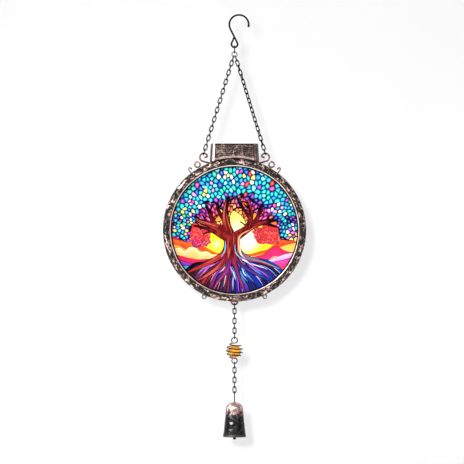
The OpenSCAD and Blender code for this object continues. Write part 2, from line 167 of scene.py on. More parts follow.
# --- materials ---
def make_black_wire():
    t = Tree("black_wire")
    coat = t.noise(1.7, detail=4)
    chips = t.ramp(t.noise(0.9, detail=6, roughness=0.7, seed=3), (0.66, 0.0), (0.74, 1.0))
    base = t.mix(coat, (0.0012, 0.0012, 0.0016), (0.006, 0.0055, 0.006))
    base = t.mix(chips, base, (0.05, 0.046, 0.046))
    rough = t.ramp(coat, (0.3, 0.36), (0.75, 0.58))
    normal = t.bump(t.noise(0.45, detail=3, seed=8), 0.03, 0.6)
    t.principled(Base_Color=base, Roughness=rough, Specular_IOR_Level=0.05, Normal=normal)
    return t.material


def make_bright_steel():
    t = Tree("bright_steel")
    cloud = t.noise(2.2, detail=5)
    base = t.mix(cloud, (0.13, 0.13, 0.135), (0.34, 0.34, 0.35))
    stain = t.ramp(t.noise(3.5, seed=5), (0.58, 0.0), (0.72, 1.0))
    base = t.mix(stain, base, (0.09, 0.08, 0.072))
    rough = t.ramp(cloud, (0.3, 0.42), (0.8, 0.25))
    normal = t.bump(t.noise(0.3, detail=2, seed=2), 0.02, 0.5)
    t.principled(Base_Color=base, Metallic=1.0, Roughness=rough, Normal=normal)
    return t.material


BLACK = (0.004, 0.004, 0.004)
PATINA = (0.02, 0.017, 0.014)
BROWN = (0.15, 0.095, 0.08)
PINK_COPPER = (0.66, 0.45, 0.4)
PALE_COPPER = (0.97, 0.83, 0.78)


def make_cast(name, *stops):
    """Cast metal: the stops give its colour from the black hollows to the rubbed high places.

    The mesh says how high each place is ("relief"), which on the header also carries its painted bevel
    highlight and shade and the painted shadow line at its foot, and how thin the patina is there ("patch").
    """
    t = Tree(name)
    grit = t.noise(0.8, detail=5, roughness=0.65)
    level = t.swayed(t.maths("ADD", t.attribute("relief"), t.attribute("patch")), grit, 0.5)
    base = t.ramp(level, *stops)
    rough = t.ramp(level, (0.2, 0.6), (0.9, 0.3))
    metal = t.ramp(level, (0.4, 0.0), (0.8, 0.75))
    t.principled(Base_Color=base, Metallic=metal, Roughness=rough, Specular_IOR_Level=0.2,
                 Normal=t.bump(grit, 0.12, 0.6))
    return t.material


def make_copper():
    """Copper-painted wire, with painted shade in its curls and paler on its open outside, both from ambient
    occlusion.
    """
    t = Tree("copper_scrollwork")
    # painted shade: ambient occlusion makes the curls dark and leaves the open outside pale
    occlusion_shade = t.add("ShaderNodeAmbientOcclusion", {"Distance": 0.004}, samples=8).outputs["AO"]
    grit = t.noise(0.7, detail=5, roughness=0.65)
    blotch = t.noise(2.0, detail=3, seed=6)
    level = t.swayed(t.maths("MULTIPLY", occlusion_shade, 0.75), blotch, 1.5)
    level = t.swayed(level, grit, 0.4)
    base = t.ramp(level, (0.3, BLACK), (0.58, (0.05, 0.02, 0.016)), (0.82, (0.24, 0.1, 0.08)),
                  (1.0, (0.6, 0.33, 0.27)))
    rough = t.ramp(level, (0.3, 0.55), (0.9, 0.33))
    t.principled(Base_Color=base, Metallic=0.7, Roughness=rough, Normal=t.bump(grit, 0.08, 0.6))
    return t.material


def make_back_metal():
    t = Tree("back_metal")
    brushed = t.noise(1.2, detail=4, stretch=(0.25, 1.0, 1.0))
    cloud = t.noise(7.0, detail=3, seed=2)
    base = t.mix(brushed, (0.13, 0.07, 0.055), (0.3, 0.17, 0.13))
    base = t.mix(t.ramp(cloud, (0.45, 0.0), (0.7, 0.6)), base, (0.07, 0.055, 0.05))
    rough = t.ramp(brushed, (0.2, 0.6), (0.8, 0.38))
    t.principled(Base_Color=base, Metallic=0.7, Roughness=rough, Normal=t.bump(brushed, 0.04, 0.5))
    return t.material


def make_pane():
    """Clear glass that lets the lamps through: a mirror on top of a clear sheet."""
    t = Tree("pane_glass")
    smear = t.noise(14.0, detail=4)
    clear = t.add("ShaderNodeBsdfTransparent", {"Color": (0.97, 0.985, 0.98, 1)}).outputs[0]
    rough = t.ramp(smear, (0.35, 0.02), (0.7, 0.07))
    mirror = {"Color": (1, 1, 1, 1), "Roughness": rough, "Normal": t.bump(smear, 0.05, 0.3)}
    # the mirror's share goes by the angle alone, the same on the way in and out: the sheet doesn't bend light
    askew = t.add("ShaderNodeLayerWeight", {"Blend": 0.5}).outputs["Facing"]
    share = t.maths("ADD", t.maths("MULTIPLY", t.maths("POWER", askew, 5.0), 0.96), 0.04)
    both = {0: share, 1: clear, 2: t.add("ShaderNodeBsdfGlossy", mirror).outputs[0]}
    t.put(t.out.inputs["Surface"], t.add("ShaderNodeMixShader", both).outputs[0])
    return t.material


def make_picture():
    """Coloured enamel on film: each cell's own colour, mottled like hand-rolled glass."""
    t = Tree("picture")
    ink = t.attribute("ink", "Color")
    seeds = t.noise(1.3, detail=4, roughness=0.6, distortion=1.2)
    streaks = t.noise(3.2, detail=3, distortion=2.0, seed=4)
    lighter = t.mix(t.ramp(streaks, (0.5, 0.0), (0.8, 0.45)), ink, (1.0, 0.98, 0.92), "SOFT_LIGHT")
    darker = t.mix(t.ramp(seeds, (0.25, 0.4), (0.5, 0.0)), lighter, (0.4, 0.4, 0.46), "MULTIPLY")
    rough = t.ramp(seeds, (0.3, 0.3), (0.7, 0.16))
    t.principled(Base_Color=darker, Roughness=rough, Specular_IOR_Level=0.15, Normal=t.bump(seeds, 0.05, 0.3))
    return t.material


def make_amber():
    t = Tree("amber_glass")
    swirl = t.noise(5.5, detail=3, distortion=2.5)
    base = t.ramp(swirl, (0.3, (0.95, 0.3, 0.01)), (0.5, (1.0, 0.52, 0.04)), (0.72, (1.0, 0.75, 0.2)))
    rough = t.ramp(t.noise(1.5, seed=3), (0.4, 0.03), (0.8, 0.1))
    normal = t.bump(t.noise(6.0, seed=7), 0.15, 0.4)
    t.principled(Base_Color=base, Roughness=rough, Transmission_Weight=0.75, IOR=1.5, Normal=normal)
    return t.material


def make_amber_core():
    t = Tree("amber_core")
    swirl = t.noise(3.0, detail=4, distortion=2.0)
    base = t.ramp(swirl, (0.3, (0.55, 0.14, 0.01)), (0.7, (1.0, 0.6, 0.08)))
    t.principled(Base_Color=base, Roughness=t.ramp(swirl, (0.3, 0.4), (0.7, 0.2)))
    return t.material


def make_bell():
    """Glossy gunmetal; the mesh says how far down a place is ("down") and marks the mouth ("edge")."""
    t = Tree("bell_metal")
    grit = t.noise(0.7, detail=5, roughness=0.6)
    blotch = t.noise(4.5, detail=4, distortion=0.6, seed=2)
    blush = t.ramp(t.swayed(t.attribute("down"), blotch, 0.8), (0.1, 1.0), (0.4, 0.0))
    base = t.mix(blotch, (0.002, 0.002, 0.002), (0.018, 0.015, 0.016))
    base = t.mix(blush, base, (0.5, 0.33, 0.3))
    edge = t.ramp(t.attribute("edge"), (0.2, 0.0), (0.9, 0.9))
    base = t.mix(edge, base, (0.05, 0.034, 0.03))
    rough = t.maths("ADD", t.ramp(grit, (0.3, 0.16), (0.75, 0.3)), t.maths("MULTIPLY", edge, 0.3))
    t.principled(Base_Color=base, Metallic=0.85, Roughness=rough, Coat_Weight=t.maths("SUBTRACT", 1.0, edge),
                 Coat_Roughness=0.08, Normal=t.bump(grit, 0.02, 0.3))
    return t.material


def make_plaster(name, tint):
    """A stage surface's tree and its shader."""
    t = Tree(name)
    base = t.mix(t.noise(160.0, detail=2), tint, tuple(c * 0.985 for c in tint))
    return t, t.principled(Base_Color=base, Roughness=0.9)


MATERIALS = {
    "black_wire": make_black_wire(),
    "bright_steel": make_bright_steel(),
    "cast_ring": make_cast("cast_ring", (0.28, BLACK), (0.46, PATINA), (0.6, BROWN), (0.76, PINK_COPPER),
                           (0.94, PALE_COPPER)),
    "header_casting": make_cast("header_casting", (0.34, BLACK), (0.56, PATINA), (0.72, BROWN),
                                (0.88, PINK_COPPER), (1.0, PALE_COPPER)),
    "copper_scrollwork": make_copper(),
    "back_metal": make_back_metal(),
    "pane_glass": make_pane(),
    "picture": make_picture(),
    "amber_glass": make_amber(),
    "bell_metal": make_bell(),
}


# --- mesh helpers ---
def piece(name, verts_mm, faces, slot, body, replaces=(), sharp=0, values=None, centre=(0, 0, 0),
          material=None):
    """A mesh piece in metres, from points in millimetres round the centre.

    Edges sharper than the sharp angle stay hard; values are numbers or colours for each point, by name.
    """
    mesh = bpy.data.meshes.new(name)
    verts = (np.asarray(verts_mm, dtype=float) + centre) * MM
    mesh.from_pydata(verts.tolist(), [], [list(map(int, f)) for f in faces])
    mesh.polygons.foreach_set("use_smooth", [True] * len(mesh.polygons))
    if sharp:
        mesh.set_sharp_from_angle(angle=radians(sharp))
    mesh.materials.append(material or MATERIALS[slot])
    mesh.update()
    for key, numbers in (values or {}).items():
        point_values(mesh, key, numbers)
    made = placed(name, mesh)
    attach(made, body)
    if replaces:
        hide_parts(*replaces)
    return made


def point_values(mesh, name, values):
    """One number or one colour for each point."""
    values = np.asarray(values, dtype=np.float32)
    if values.ndim == 1:
        mesh.attributes.new(name, "FLOAT", "POINT").data.foreach_set("value", values)
    else:
        rgba = np.column_stack([values, np.ones(len(values), dtype=np.float32)])
        mesh.attributes.new(name, "FLOAT_COLOR", "POINT").data.foreach_set("color", rgba.ravel())


def grid_faces(rows, columns, close_rows=False, close_columns=False):
    """Quads over rows x columns points."""
    faces = []
    for i in range(rows if close_rows else rows - 1):
        for k in range(columns if close_columns else columns - 1):
            n, m = (i + 1) % rows, (k + 1) % columns
            faces.append((i * columns + k, i * columns + m, n * columns + m, n * columns + k))
    return faces


def curve_through(points, per_span):
    """A smooth curve through the points (Catmull-Rom); works on any number of values a point."""
    points = [np.asarray(p, dtype=float) for p in points]
    ends = [2 * points[0] - points[1], *points, 2 * points[-1] - points[-2]]
    out = []
    for a, b, c, d in zip(ends, ends[1:], ends[2:], ends[3:]):
        for i in range(per_span):
            s = i / per_span
            out.append(0.5 * (2 * b + (c - a) * s + (2 * a - 5 * b + 4 * c - d) * s * s
                              + (3 * b - a - 3 * c + d) * s ** 3))
    out.append(points[-1])
    return np.array(out)


def tube(path, radius, sides):
    """A round wire along a path, with domed ends. Returns points and faces."""
    path = np.asarray(path, dtype=float)
    ahead = np.gradient(path, axis=0)
    ahead /= np.linalg.norm(ahead, axis=1)[:, None]
    side = np.cross(ahead[0], (0.3, 1, 0.2))
    rings = []
    for point, direction in zip(path, ahead):
        side = side - side.dot(direction) * direction
        side /= np.linalg.norm(side)
        up = np.cross(direction, side)
        turn = 2 * pi * np.arange(sides) / sides
        rings.append(point + radius * (np.cos(turn)[:, None] * side + np.sin(turn)[:, None] * up))
    points = np.concatenate(rings)
    faces = [tuple(reversed(f)) for f in grid_faces(len(path), sides, close_columns=True)]
    for start, tip, flip in ((0, path[0] - ahead[0] * radius * 0.6, False),
                             ((len(path) - 1) * sides, path[-1] + ahead[-1] * radius * 0.6, True)):
        points = np.vstack([points, tip])
        for k in range(sides):
            face = (start + k, start + (k + 1) % sides, len(points) - 1)
            faces.append(face if flip else face[::-1])
    return points, faces


def hills(x, y, z, size):
    """Blender's gradient noise at millimetre places, about -1 to 1, with features of that size."""
    return noise.noise(Vector((x / size, y / size, z / size)))


def smoothstep(low, high, x):
    """0 at low and 1 at high; low may be the larger."""
    s = min(max((x - low) / (high - low), 0.0), 1.0)
    return s * s * (3 - 2 * s)


def hammered(place, size):
    """0 in the middle of a dimple and 1 on the ridges between dimples."""
    distances, _ = noise.voronoi(Vector(place) / size)
    return min(distances[0] / 0.8, 1.0) ** 2


# --- the cast ring ---
SIGHT_R, SHELF_R = 70.8, 76.5
WEB_R = 75.5  # the middle of the ring's section
EMBOSSING, SEGMENTS = 0.6, 900
GLASS_BOX = box_mm("glass_pane")
GLASS_FRONT = GLASS_BOX[0][1]
PRINT_FRONT, PRINT_BACK = box_mm("picture_print")[:, 1]
POCKET_R = GLASS_BOX[1][2] - RING_Z + 0.2
FRONT_Y, BACK_Y = RING_BOX[:, 1]


def bark(x, y, across):
    """Height of the ring's embossing, 0 to 1: long dark pits between rough ridges."""
    wander = 1.3 * hills(x, y, across * 2, 8)
    distances, _ = noise.voronoi(Vector((x / 5.6, y / 5.6, (across + wander) / 1.6)))
    ridge = 1 - smoothstep(0.04, 0.4, distances[1] - distances[0])
    swell = 0.5 + 0.5 * hills(x, y, across * 1.4 + 7, 6)
    grain = 0.5 + 0.5 * noise.noise(Vector((x / 1.5, y / 1.5, across / 0.5)))
    return min(max(ridge * (0.2 + 0.75 * swell) + 0.3 * grain, 0.0), 1.0)


def patina(x, y, across):
    """Where the patina is thin, about -0.5 to 0.5, in streaks along the ring."""
    return 0.34 * hills(x + across, y, across * 2.4, 6) + 0.34 * hills(x, y + 40, across * 2.2, 2.2) - 0.11


def build_ring():
    lip = [(SIGHT_R, GLASS_FRONT), (SIGHT_R, FRONT_Y + 0.8), (SIGHT_R + 0.35, FRONT_Y + 0.35),
           (SIGHT_R + 0.9, FRONT_Y + 0.2), (SIGHT_R + 1.25, FRONT_Y + 0.45), (SIGHT_R + 1.4, FRONT_Y + 0.75)]
    lip_relief = (0.0, 0.1, 0.75, 1.0, 0.6, 0.0)
    dome = curve_through([(SIGHT_R + 1.9, FRONT_Y + 0.35), (74, FRONT_Y + 0.02), (76, FRONT_Y),
                          (78.4, FRONT_Y + 0.8), (RING_R - 0.15, FRONT_Y + 2.4), (RING_R, 0),
                          (RING_R, BACK_Y - 1.6), (RING_R - 0.9, BACK_Y)], 5)
    back = [(SHELF_R + 1, BACK_Y), (SHELF_R, BACK_Y), (SHELF_R, PRINT_BACK), (POCKET_R, PRINT_BACK),
            (POCKET_R, GLASS_FRONT)]
    # each place of the profile: radius, depth, how much of the embossing it takes, its relief without any
    profile = [(r, y, 0.0, relief) for (r, y), relief in zip(lip, lip_relief)]
    for i, (r, y) in enumerate(dome):
        profile.append((min(r, RING_R), max(y, FRONT_Y), min(i / 3, 1.0, (len(dome) - 1 - i) / 4), 0.55))
    profile = np.array(profile + [(r, y, 0.0, 0.4) for r, y in back])
    along = np.roll(profile[:, :2], -1, axis=0) - np.roll(profile[:, :2], 1, axis=0)
    along /= np.linalg.norm(along, axis=1)[:, None]
    inward = np.stack([-along[:, 1], along[:, 0]], axis=1)
    inward[inward[:, 0] * (profile[:, 0] - WEB_R) + inward[:, 1] * profile[:, 1] > 0] *= -1
    across = np.concatenate([[0], np.cumsum(np.linalg.norm(np.diff(profile[:, :2], axis=0), axis=1))])
    points, relief, patch = [], [], []
    for s in range(SEGMENTS):
        angle = 2 * pi * s / SEGMENTS
        x, z = RING_R * cos(angle), RING_R * sin(angle)
        for (r, y, weight, plain), (in_r, in_y), far in zip(profile, inward, across):
            height = bark(x, z, far) if weight > 0 else plain
            cut = EMBOSSING * weight * (1 - height)
            r += in_r * cut
            points.append((r * cos(angle), y + in_y * cut, r * sin(angle)))
            relief.append(height * weight + plain * (1 - weight))
            patch.append(patina(x, z, far) * (0.4 + 0.6 * weight))
    piece("cast_ring", points, grid_faces(SEGMENTS, len(profile), True, True), "cast_ring", "plaque",
          ["frame_ring"], 50, {"relief": relief, "patch": patch}, (0, 0, RING_Z))


build_ring()


# --- the header, remeshed from its CAD solid and engraved ---
def remeshed(node, voxel_mm):
    """A copy of a CAD node's mesh on an even grid of voxels: (points in mm, faces)."""
    copy = placed("working_copy", nodes[node].data.copy())
    modifier = copy.modifiers.new("grid", "REMESH")
    modifier.mode = "VOXEL"
    modifier.voxel_size = voxel_mm * MM
    done = copy.evaluated_get(bpy.context.evaluated_depsgraph_get()).to_mesh()
    points = np.empty(len(done.vertices) * 3, dtype=np.float32)
    done.vertices.foreach_get("co", points)
    faces = [tuple(p.vertices) for p in done.polygons]
    data = copy.data
    bpy.data.objects.remove(copy)
    bpy.data.meshes.remove(data)
    return points.reshape(-1, 3).astype(float) / MM, faces


def planked(x, z):
    """Height of the header's engraving, 0 to 1: bark-like planks in wavy rows whose grooves come and go."""
    row_height, length = 2.3, 8.0
    wavy = z + 0.9 * hills(x, 0, z, 8) + 0.5 * hills(x, 3, z, 3)
    row = floor(wavy / row_height)
    in_row = wavy / row_height - row
    place = x / length + 0.9 * hills(row * 7.3, 1, 0, 1.3) + 0.12 * hills(x, 5, z, 1.5)
    in_plank = place - floor(place)
    row_seam = min(in_row, 1 - in_row) * row_height / 0.6
    end_seam = min(in_plank, 1 - in_plank) * length / 0.5
    seam = min(row_seam + 0.9 * smoothstep(0.0, 0.4, hills(x, 12, z, 3.5)),
               end_seam + smoothstep(-0.1, 0.2, hills(x, 20, z, 4)), 1.0)
    grain = 0.5 + 0.5 * noise.noise(Vector((x / 1.8, row * 3.1, z / 0.45)))
    return smoothstep(0.1, 1.0, seam) * (0.42 + 0.58 * grain)


HEADER_TOP, HEADER_HALF, HEADER_FLARE = 96, 24.3, 1.6 / 28
BEVEL, BEVEL_SLOPE, ENGRAVING = 3.0, 0.6, 0.55
LEFT_BEVEL_HIGHLIGHT, RIGHT_BEVEL_SHADE = 0.98, 0.68  # painted light: the left bevel is painted pale as a highlight, the right one darker as shade


def header_face(x, up):
    """(depth cut, relief) on the header's front: bevels painted pale on the left as a highlight and darker on
    the right as shade, black border grooves, a painted shadow line where it meets the ring, a pale foot,
    planks.
    """
    side = HEADER_HALF + HEADER_FLARE * (HEADER_TOP - up) - abs(x)
    top, foot = HEADER_TOP - up, hypot(x, up) - RING_R
    inner = min(side - BEVEL, top - 0.4)
    fall = BEVEL_SLOPE * max(BEVEL - side, 0.0)
    # the bevels take painted light: a highlight on the left, shade on the right
    if side < BEVEL:
        return fall, (LEFT_BEVEL_HIGHLIGHT if x < 0 else RIGHT_BEVEL_SHADE) + 0.1 * hills(x, 2, up, 3)
    groove = (1 - smoothstep(0.5, 1.1, inner)) * smoothstep(0.0, 0.3, inner)
    band = smoothstep(0.1, 0.5, foot) * (1 - smoothstep(2.3, 2.8, foot))
    height = planked(x, up)
    # the border grooves go dark, and the last 0.4 mm above the ring is painted dark as a shadow line where
    # the header meets it
    height += (0.1 - height) * max(groove, smoothstep(0.4, 0.0, foot))
    height += (0.9 - height) * band * (1 - groove)
    edge = smoothstep(0.0, 0.4, min(side, top, foot))
    return fall + ENGRAVING * (1 - min(height, 1)) * edge, height


def build_header():
    points, faces = remeshed("header_shell", 0.33)
    front = box_mm("header_shell")[0][1]
    relief, patch = [], []
    for i, (x, y, z) in enumerate(points):
        up = z - RING_Z
        if y < front + 0.3:
            cut, height = header_face(x, up)
            points[i, 1] = max(y + cut, front)
        else:
            height = 0.45 + 0.3 * hills(x, y, z, 4)
        relief.append(height)
        patch.append(0.16 * hills(x, 8, z, 9) + 0.1 * hills(x, 3, z, 3))
    piece("header_casting", points, faces, "header_casting", "plaque", ["header_shell"],
          values={"relief": relief, "patch": patch})


build_header()


# --- the stained picture ---
ART_R = POCKET_R - 0.3
HAIR = 0.001
INK_EDGE = (0.003, 0.002, 0.007)


class Art:
    """Flat shapes painted one over another, in millimetres from the ring's centre, joined in one mesh.

    Each shape lies a hair in front of the last one, so that no two faces coincide.
    """

    def __init__(self, deepest):
        self.points, self.faces, self.inks = [], [], []
        self.depth = deepest

    def add(self, outline, faces, inks, rise=None):
        """rise says how far each point stands forward of the shape's own layer."""
        self.depth -= HAIR
        start = len(self.points)
        rise = [0.0] * len(outline) if rise is None else rise
        self.points += [(x, self.depth - up, z) for (x, z), up in zip(outline, rise)]
        self.faces += [tuple(start + k for k in face) for face in faces]
        self.inks += list(inks)
        self.depth -= max(rise)

    def add_group(self, shapes, layers):
        """Many flat shapes on a few layers by turns; shapes that may overlap are near in the list."""
        top = self.depth
        for number, shape in enumerate(shapes):
            self.depth = top - HAIR * (number % layers)
            self.add(*shape)
        self.depth = top - HAIR * layers


def inside_ring(points):
    points = np.asarray(points, dtype=float)
    far = np.linalg.norm(points, axis=1)
    return points * np.minimum(1.0, ART_R / np.maximum(far, 1e-9))[:, None]


def blend(a, b, s):
    s = min(max(s, 0.0), 1.0)
    return tuple(p + (q - p) * s for p, q in zip(a, b))


def polar(r, a):
    return r * cos(a), r * sin(a)


def bulge(k, first, last):
    """0 at both ends and 1 halfway."""
    return sin(pi * (k - first) / (last - first))


def plain_ink(shade):
    """The same colour everywhere."""
    return lambda *_: shade


def sideways(places):
    """Unit vectors to the left of a path of (x, z)."""
    ahead = np.gradient(places, axis=0)
    ahead /= np.maximum(np.linalg.norm(ahead, axis=1), 1e-9)[:, None]
    return np.stack([-ahead[:, 1], ahead[:, 0]], axis=1)


WHITE_HOT = (1.0, 0.98, 0.8)
SUN_YELLOW = (1.0, 0.83, 0.05)
ORANGE = (1.0, 0.33, 0.04)
RED = (0.85, 0.04, 0.045)
CRIMSON = (0.5, 0.015, 0.07)
SUN = (16.0, -11.0)
GLOW = (-20.0, -16.0)


def sky(x, z):
    """The sky's colour: a sun right of the trunk, a lower glow left of it, red further out."""
    d = min(hypot(x - SUN[0], (z - SUN[1]) * 0.9),
            hypot((x - GLOW[0]) * 0.9, z - GLOW[1]) + 9)
    d += 2.5 * hills(x, 0, z, 9)
    stops = ((0, WHITE_HOT), (7, WHITE_HOT), (15, SUN_YELLOW), (25, SUN_YELLOW), (31, ORANGE), (39, RED),
             (60, CRIMSON))
    for (low, a), (high, b) in zip(stops, stops[1:]):
        if d < high:
            return blend(a, b, (d - low) / (high - low))
    return CRIMSON


def ribbon(spine, ink_at, grow=0.0, edge=0.0, per_span=6):
    """(outline, faces, inks) of a tapering band along a spine of (x, z, width).

    ink_at(x, z, t, side) gives its colour; edge is the width of a dark line along both sides.
    """
    spine = curve_through(spine, per_span)
    places = spine[:, :2]
    half = np.maximum(spine[:, 2], 0.15) / 2 + grow
    outline, inks = [], []
    for i, (place, out, reach) in enumerate(zip(places, sideways(places), half)):
        line = min(edge, reach * 0.8)
        columns = [(reach, edge > 0)]
        if edge:
            columns += [(reach - line, True), (reach - line * 1.15, False)]
        columns.append((reach * 0.3, False))
        columns += [(-away, dark) for away, dark in reversed(columns)]
        for away, dark in columns:
            x, z = place + out * away
            outline.append((x, z))
            inks.append(INK_EDGE if dark else ink_at(x, z, i / (len(places) - 1), away / reach))
    return inside_ring(outline), grid_faces(len(places), len(columns)), inks


def blob(points, ink_at, edge=0.0):
    """(outline, faces, inks) of a smooth closed shape through the points, filled from its middle."""
    ring = curve_through([*points, points[0]], 5)[:-1]
    hub = ring.mean(axis=0)
    size = np.linalg.norm(ring - hub, axis=1)[:, None]
    shares = [1, 1 - edge / size, 1 - edge * 1.15 / size, 0.6 * (1 - edge / size), 0.25 * (1 - edge / size)]
    rows = [hub + (ring - hub) * share for share in shares]
    outline = np.vstack(rows)
    n = len(ring)
    inks = [INK_EDGE if edge and i < 2 * n else ink_at(*p) for i, p in enumerate(outline)]
    faces = grid_faces(len(rows), n, close_columns=True)
    faces.append(tuple(range((len(rows) - 1) * n, len(rows) * n)))
    return inside_ring(outline), faces, inks


def curtain(foot_of, head_of, low_x, high_x, columns, rows, ink_at):
    """(outline, faces, inks) of a sheet that hangs between two curves; ink_at(x, z, t) from foot to head."""
    outline, inks = [], []
    for i in range(columns):
        x = low_x + (high_x - low_x) * i / (columns - 1)
        foot, head = foot_of(x), head_of(x)
        for k in range(rows):
            t = k / (rows - 1)
            outline.append((x, foot + (head - foot) * t))
            inks.append(ink_at(x, outline[-1][1], t))
    return inside_ring(outline), grid_faces(columns, rows), inks


def rim(x):
    return sqrt(max(ART_R ** 2 - x * x, 0.0))


def clip_cell(polygon, at, other):
    """The part of a convex polygon nearer to at than to other."""
    mid, away = (at + other) / 2, other - at
    out = []
    for a, b in zip(polygon, polygon[1:] + polygon[:1]):
        da, db = (a - mid).dot(away), (b - mid).dot(away)
        if da <= 0:
            out.append(a)
        if da * db < 0:
            out.append(a + (b - a) * (da / (da - db)))
    return out


def scattered(rng, spacing_at, wanted, box, tries):
    """Scattered points, about spacing_at(x, z) apart, where wanted(x, z) says so."""
    found, cell, grid = [], 8.0, {}
    for _ in range(tries):
        x, z = rng.uniform(box[0], box[2]), rng.uniform(box[1], box[3])
        if not wanted(x, z):
            continue
        gap = spacing_at(x, z) * rng.uniform(0.82, 1.3)
        key = (int(x // cell), int(z // cell))
        near = (q for i in (-1, 0, 1) for j in (-1, 0, 1) for q in grid.get((key[0] + i, key[1] + j), ()))
        if all((q[0] - x) ** 2 + (q[1] - z) ** 2 > gap * gap for q in near):
            grid.setdefault(key, []).append((x, z))
            found.append((x, z))
    return np.array(found)


CELL_REACH = 9.0


def mosaic(sites, kept, ink_of, gap, dome, stretch, largest=7.0):
    """(outline, faces, inks, rise) of pillowed cells round the sites that are kept.

    gap is half the lead between two cells; stretch(x, z) gives (angle, factor) of the cells' grain.
    """
    outline, faces, inks, rise = [], [], [], []
    for at in sites:
        if not kept(*at):
            continue
        angle, factor = stretch(*at)
        turn = np.array([[cos(angle), sin(angle)],
                         [-sin(angle) * factor, cos(angle) * factor]])
        local = (sites - at) @ turn.T
        polygon = [np.array(p, dtype=float) * CELL_REACH for p in ((-1, -1), (1, -1), (1, 1), (-1, 1))]
        for j in np.argsort(np.linalg.norm(local, axis=1))[1:15]:
            polygon = clip_cell(polygon, np.zeros(2), local[j])
        if len(polygon) < 3:
            continue
        centre = sum(polygon) / len(polygon)
        size = np.mean([np.linalg.norm(p - centre) for p in polygon])
        if size < gap * 1.6 or size > largest:
            continue
        polygon = [centre + (p - centre) * (1 - gap / size) for p in polygon]
        for share in (0.2, 0.25) if size > 1.3 else (0.25,):
            polygon = [q for a, b in zip(polygon, polygon[1:] + polygon[:1])
                       for q in (a + (b - a) * share, b + (a - b) * share)]
        back = np.linalg.inv(turn)
        base = ink_of(*at)
        n, start = len(polygon), len(outline)
        for share, high, ink in ((1.0, 0.0, tuple(c * 0.4 for c in base)), (0.68, dome * 0.8, base)):
            outline += [at + back @ (centre + (p - centre) * share) for p in polygon]
            rise += [high] * n
            inks += [ink] * n
        outline.append(at + back @ centre)
        rise.append(dome)
        inks.append(blend(base, (1, 1, 1), 0.3))
        faces += [(start + k, start + (k + 1) % n, start + n + (k + 1) % n, start + n + k) for k in range(n)]
        faces += [(start + n + k, start + n + (k + 1) % n, start + 2 * n) for k in range(n)]
    return inside_ring(outline), faces, inks, rise


def canopy_edge(x):
    """Height of the arch that the leaves' lower edge follows."""
    lobes = 2.4 * sin(x / 6.1 + 0.8) + 1.6 * hills(x, 0, 0, 8)
    arch = 47 * sqrt(max(1 - (x / 50) ** 2, 0)) - 10
    return max(arch, -13 + max(abs(x) - 44, 0) * 0.1) + lobes


def bough_line(x):
    """Height of the lowest boughs, which the dark panes stand on."""
    return -5 + 0.3 * abs(x + 2)


LEAVES = [
    (0.24, (0.01, 0.6, 0.78)), (0.15, (0.02, 0.75, 0.8)), (0.11, (0.01, 0.42, 0.82)),
    (0.08, (0.04, 0.72, 0.55)), (0.07, (0.01, 0.14, 0.62)), (0.06, (0.3, 0.86, 0.95)),
    (0.03, (0.1, 0.6, 0.2)), (0.05, (0.95, 0.86, 0.25)), (0.05, (0.95, 0.4, 0.78)),
    (0.05, (0.42, 0.08, 0.75)), (0.07, (0.95, 0.92, 0.93)), (0.03, (0.85, 0.08, 0.5)),
    (0.02, (0.98, 0.45, 0.2)), (0.012, (0.9, 0.05, 0.04)),
]
ACCENTS = [(0.95, 0.82, 0.25), (0.8, 0.2, 0.6), (0.35, 0.06, 0.6), (0.9, 0.75, 0.85), (0.01, 0.02, 0.16),
           (0.02, 0.3, 0.5)]
DEEP = [(0.01, 0.06, 0.42), (0.12, 0.02, 0.4), (0.01, 0.2, 0.62), (0.28, 0.03, 0.45), (0.01, 0.35, 0.7)]
PANES = [(0.62, 0.02, 0.12), (0.75, 0.03, 0.24), (0.5, 0.02, 0.3), (0.8, 0.1, 0.07), (0.78, 0.12, 0.42)]
WARM_PANES = [(0.95, 0.3, 0.06), (0.9, 0.16, 0.08), (1.0, 0.5, 0.12)]


def pick(rng, weighted):
    left = rng.random() * sum(w for w, _ in weighted)
    for w, value in weighted:
        left -= w
        if left <= 0:
            break
    return value


LIMBS = [
    [(-5, -7, 12), (-8.5, 5, 8.6), (-10.5, 16, 6.4), (-9.5, 27, 4.6), (-7, 37, 3), (-7, 44, 1.4)],
    [(-6, -7, 10), (-16, 1, 8), (-28, 6, 6), (-39, 10, 4.2), (-48, 16, 2)],
    [(-20, 3, 5), (-25, 12, 4), (-29, 22, 2.8), (-34, 31, 1.4)],
    [(-10.5, 10, 4.6), (-17, 20, 3.4), (-19, 30, 2.4), (-18, 38, 1.2)],
    [(-1, -9, 11), (8, -3, 9), (19, 4, 7), (31, 8.5, 4.8), (42, 11, 3), (51, 15, 1.4)],
    [(14, 1, 6.4), (17.5, 10, 5), (18.5, 20, 3.8), (16, 31, 2.5), (16, 42, 1.2)],
    [(20, 5, 5.2), (26, 15, 3.6), (29, 25, 2.5), (34, 33, 1.2)],
    [(17.5, 13, 3.4), (11.5, 21.5, 2.6), (6, 29, 1.8), (2, 39, 1)],
    [(-5, -12, 6), (-14, -7.5, 4.6), (-25, -1, 3.4), (-36, 3, 2.4), (-46, 5, 1)],
    [(30, 9, 3.2), (39, 6, 2.4), (47, 4, 1.6), (54, 6, 0.8)],
]
TRUNK = [(-3.4, -31, 12), (-3.2, -25, 15.5), (-3, -16, 17), (-2.8, -8, 17), (-2.6, -2, 15)]
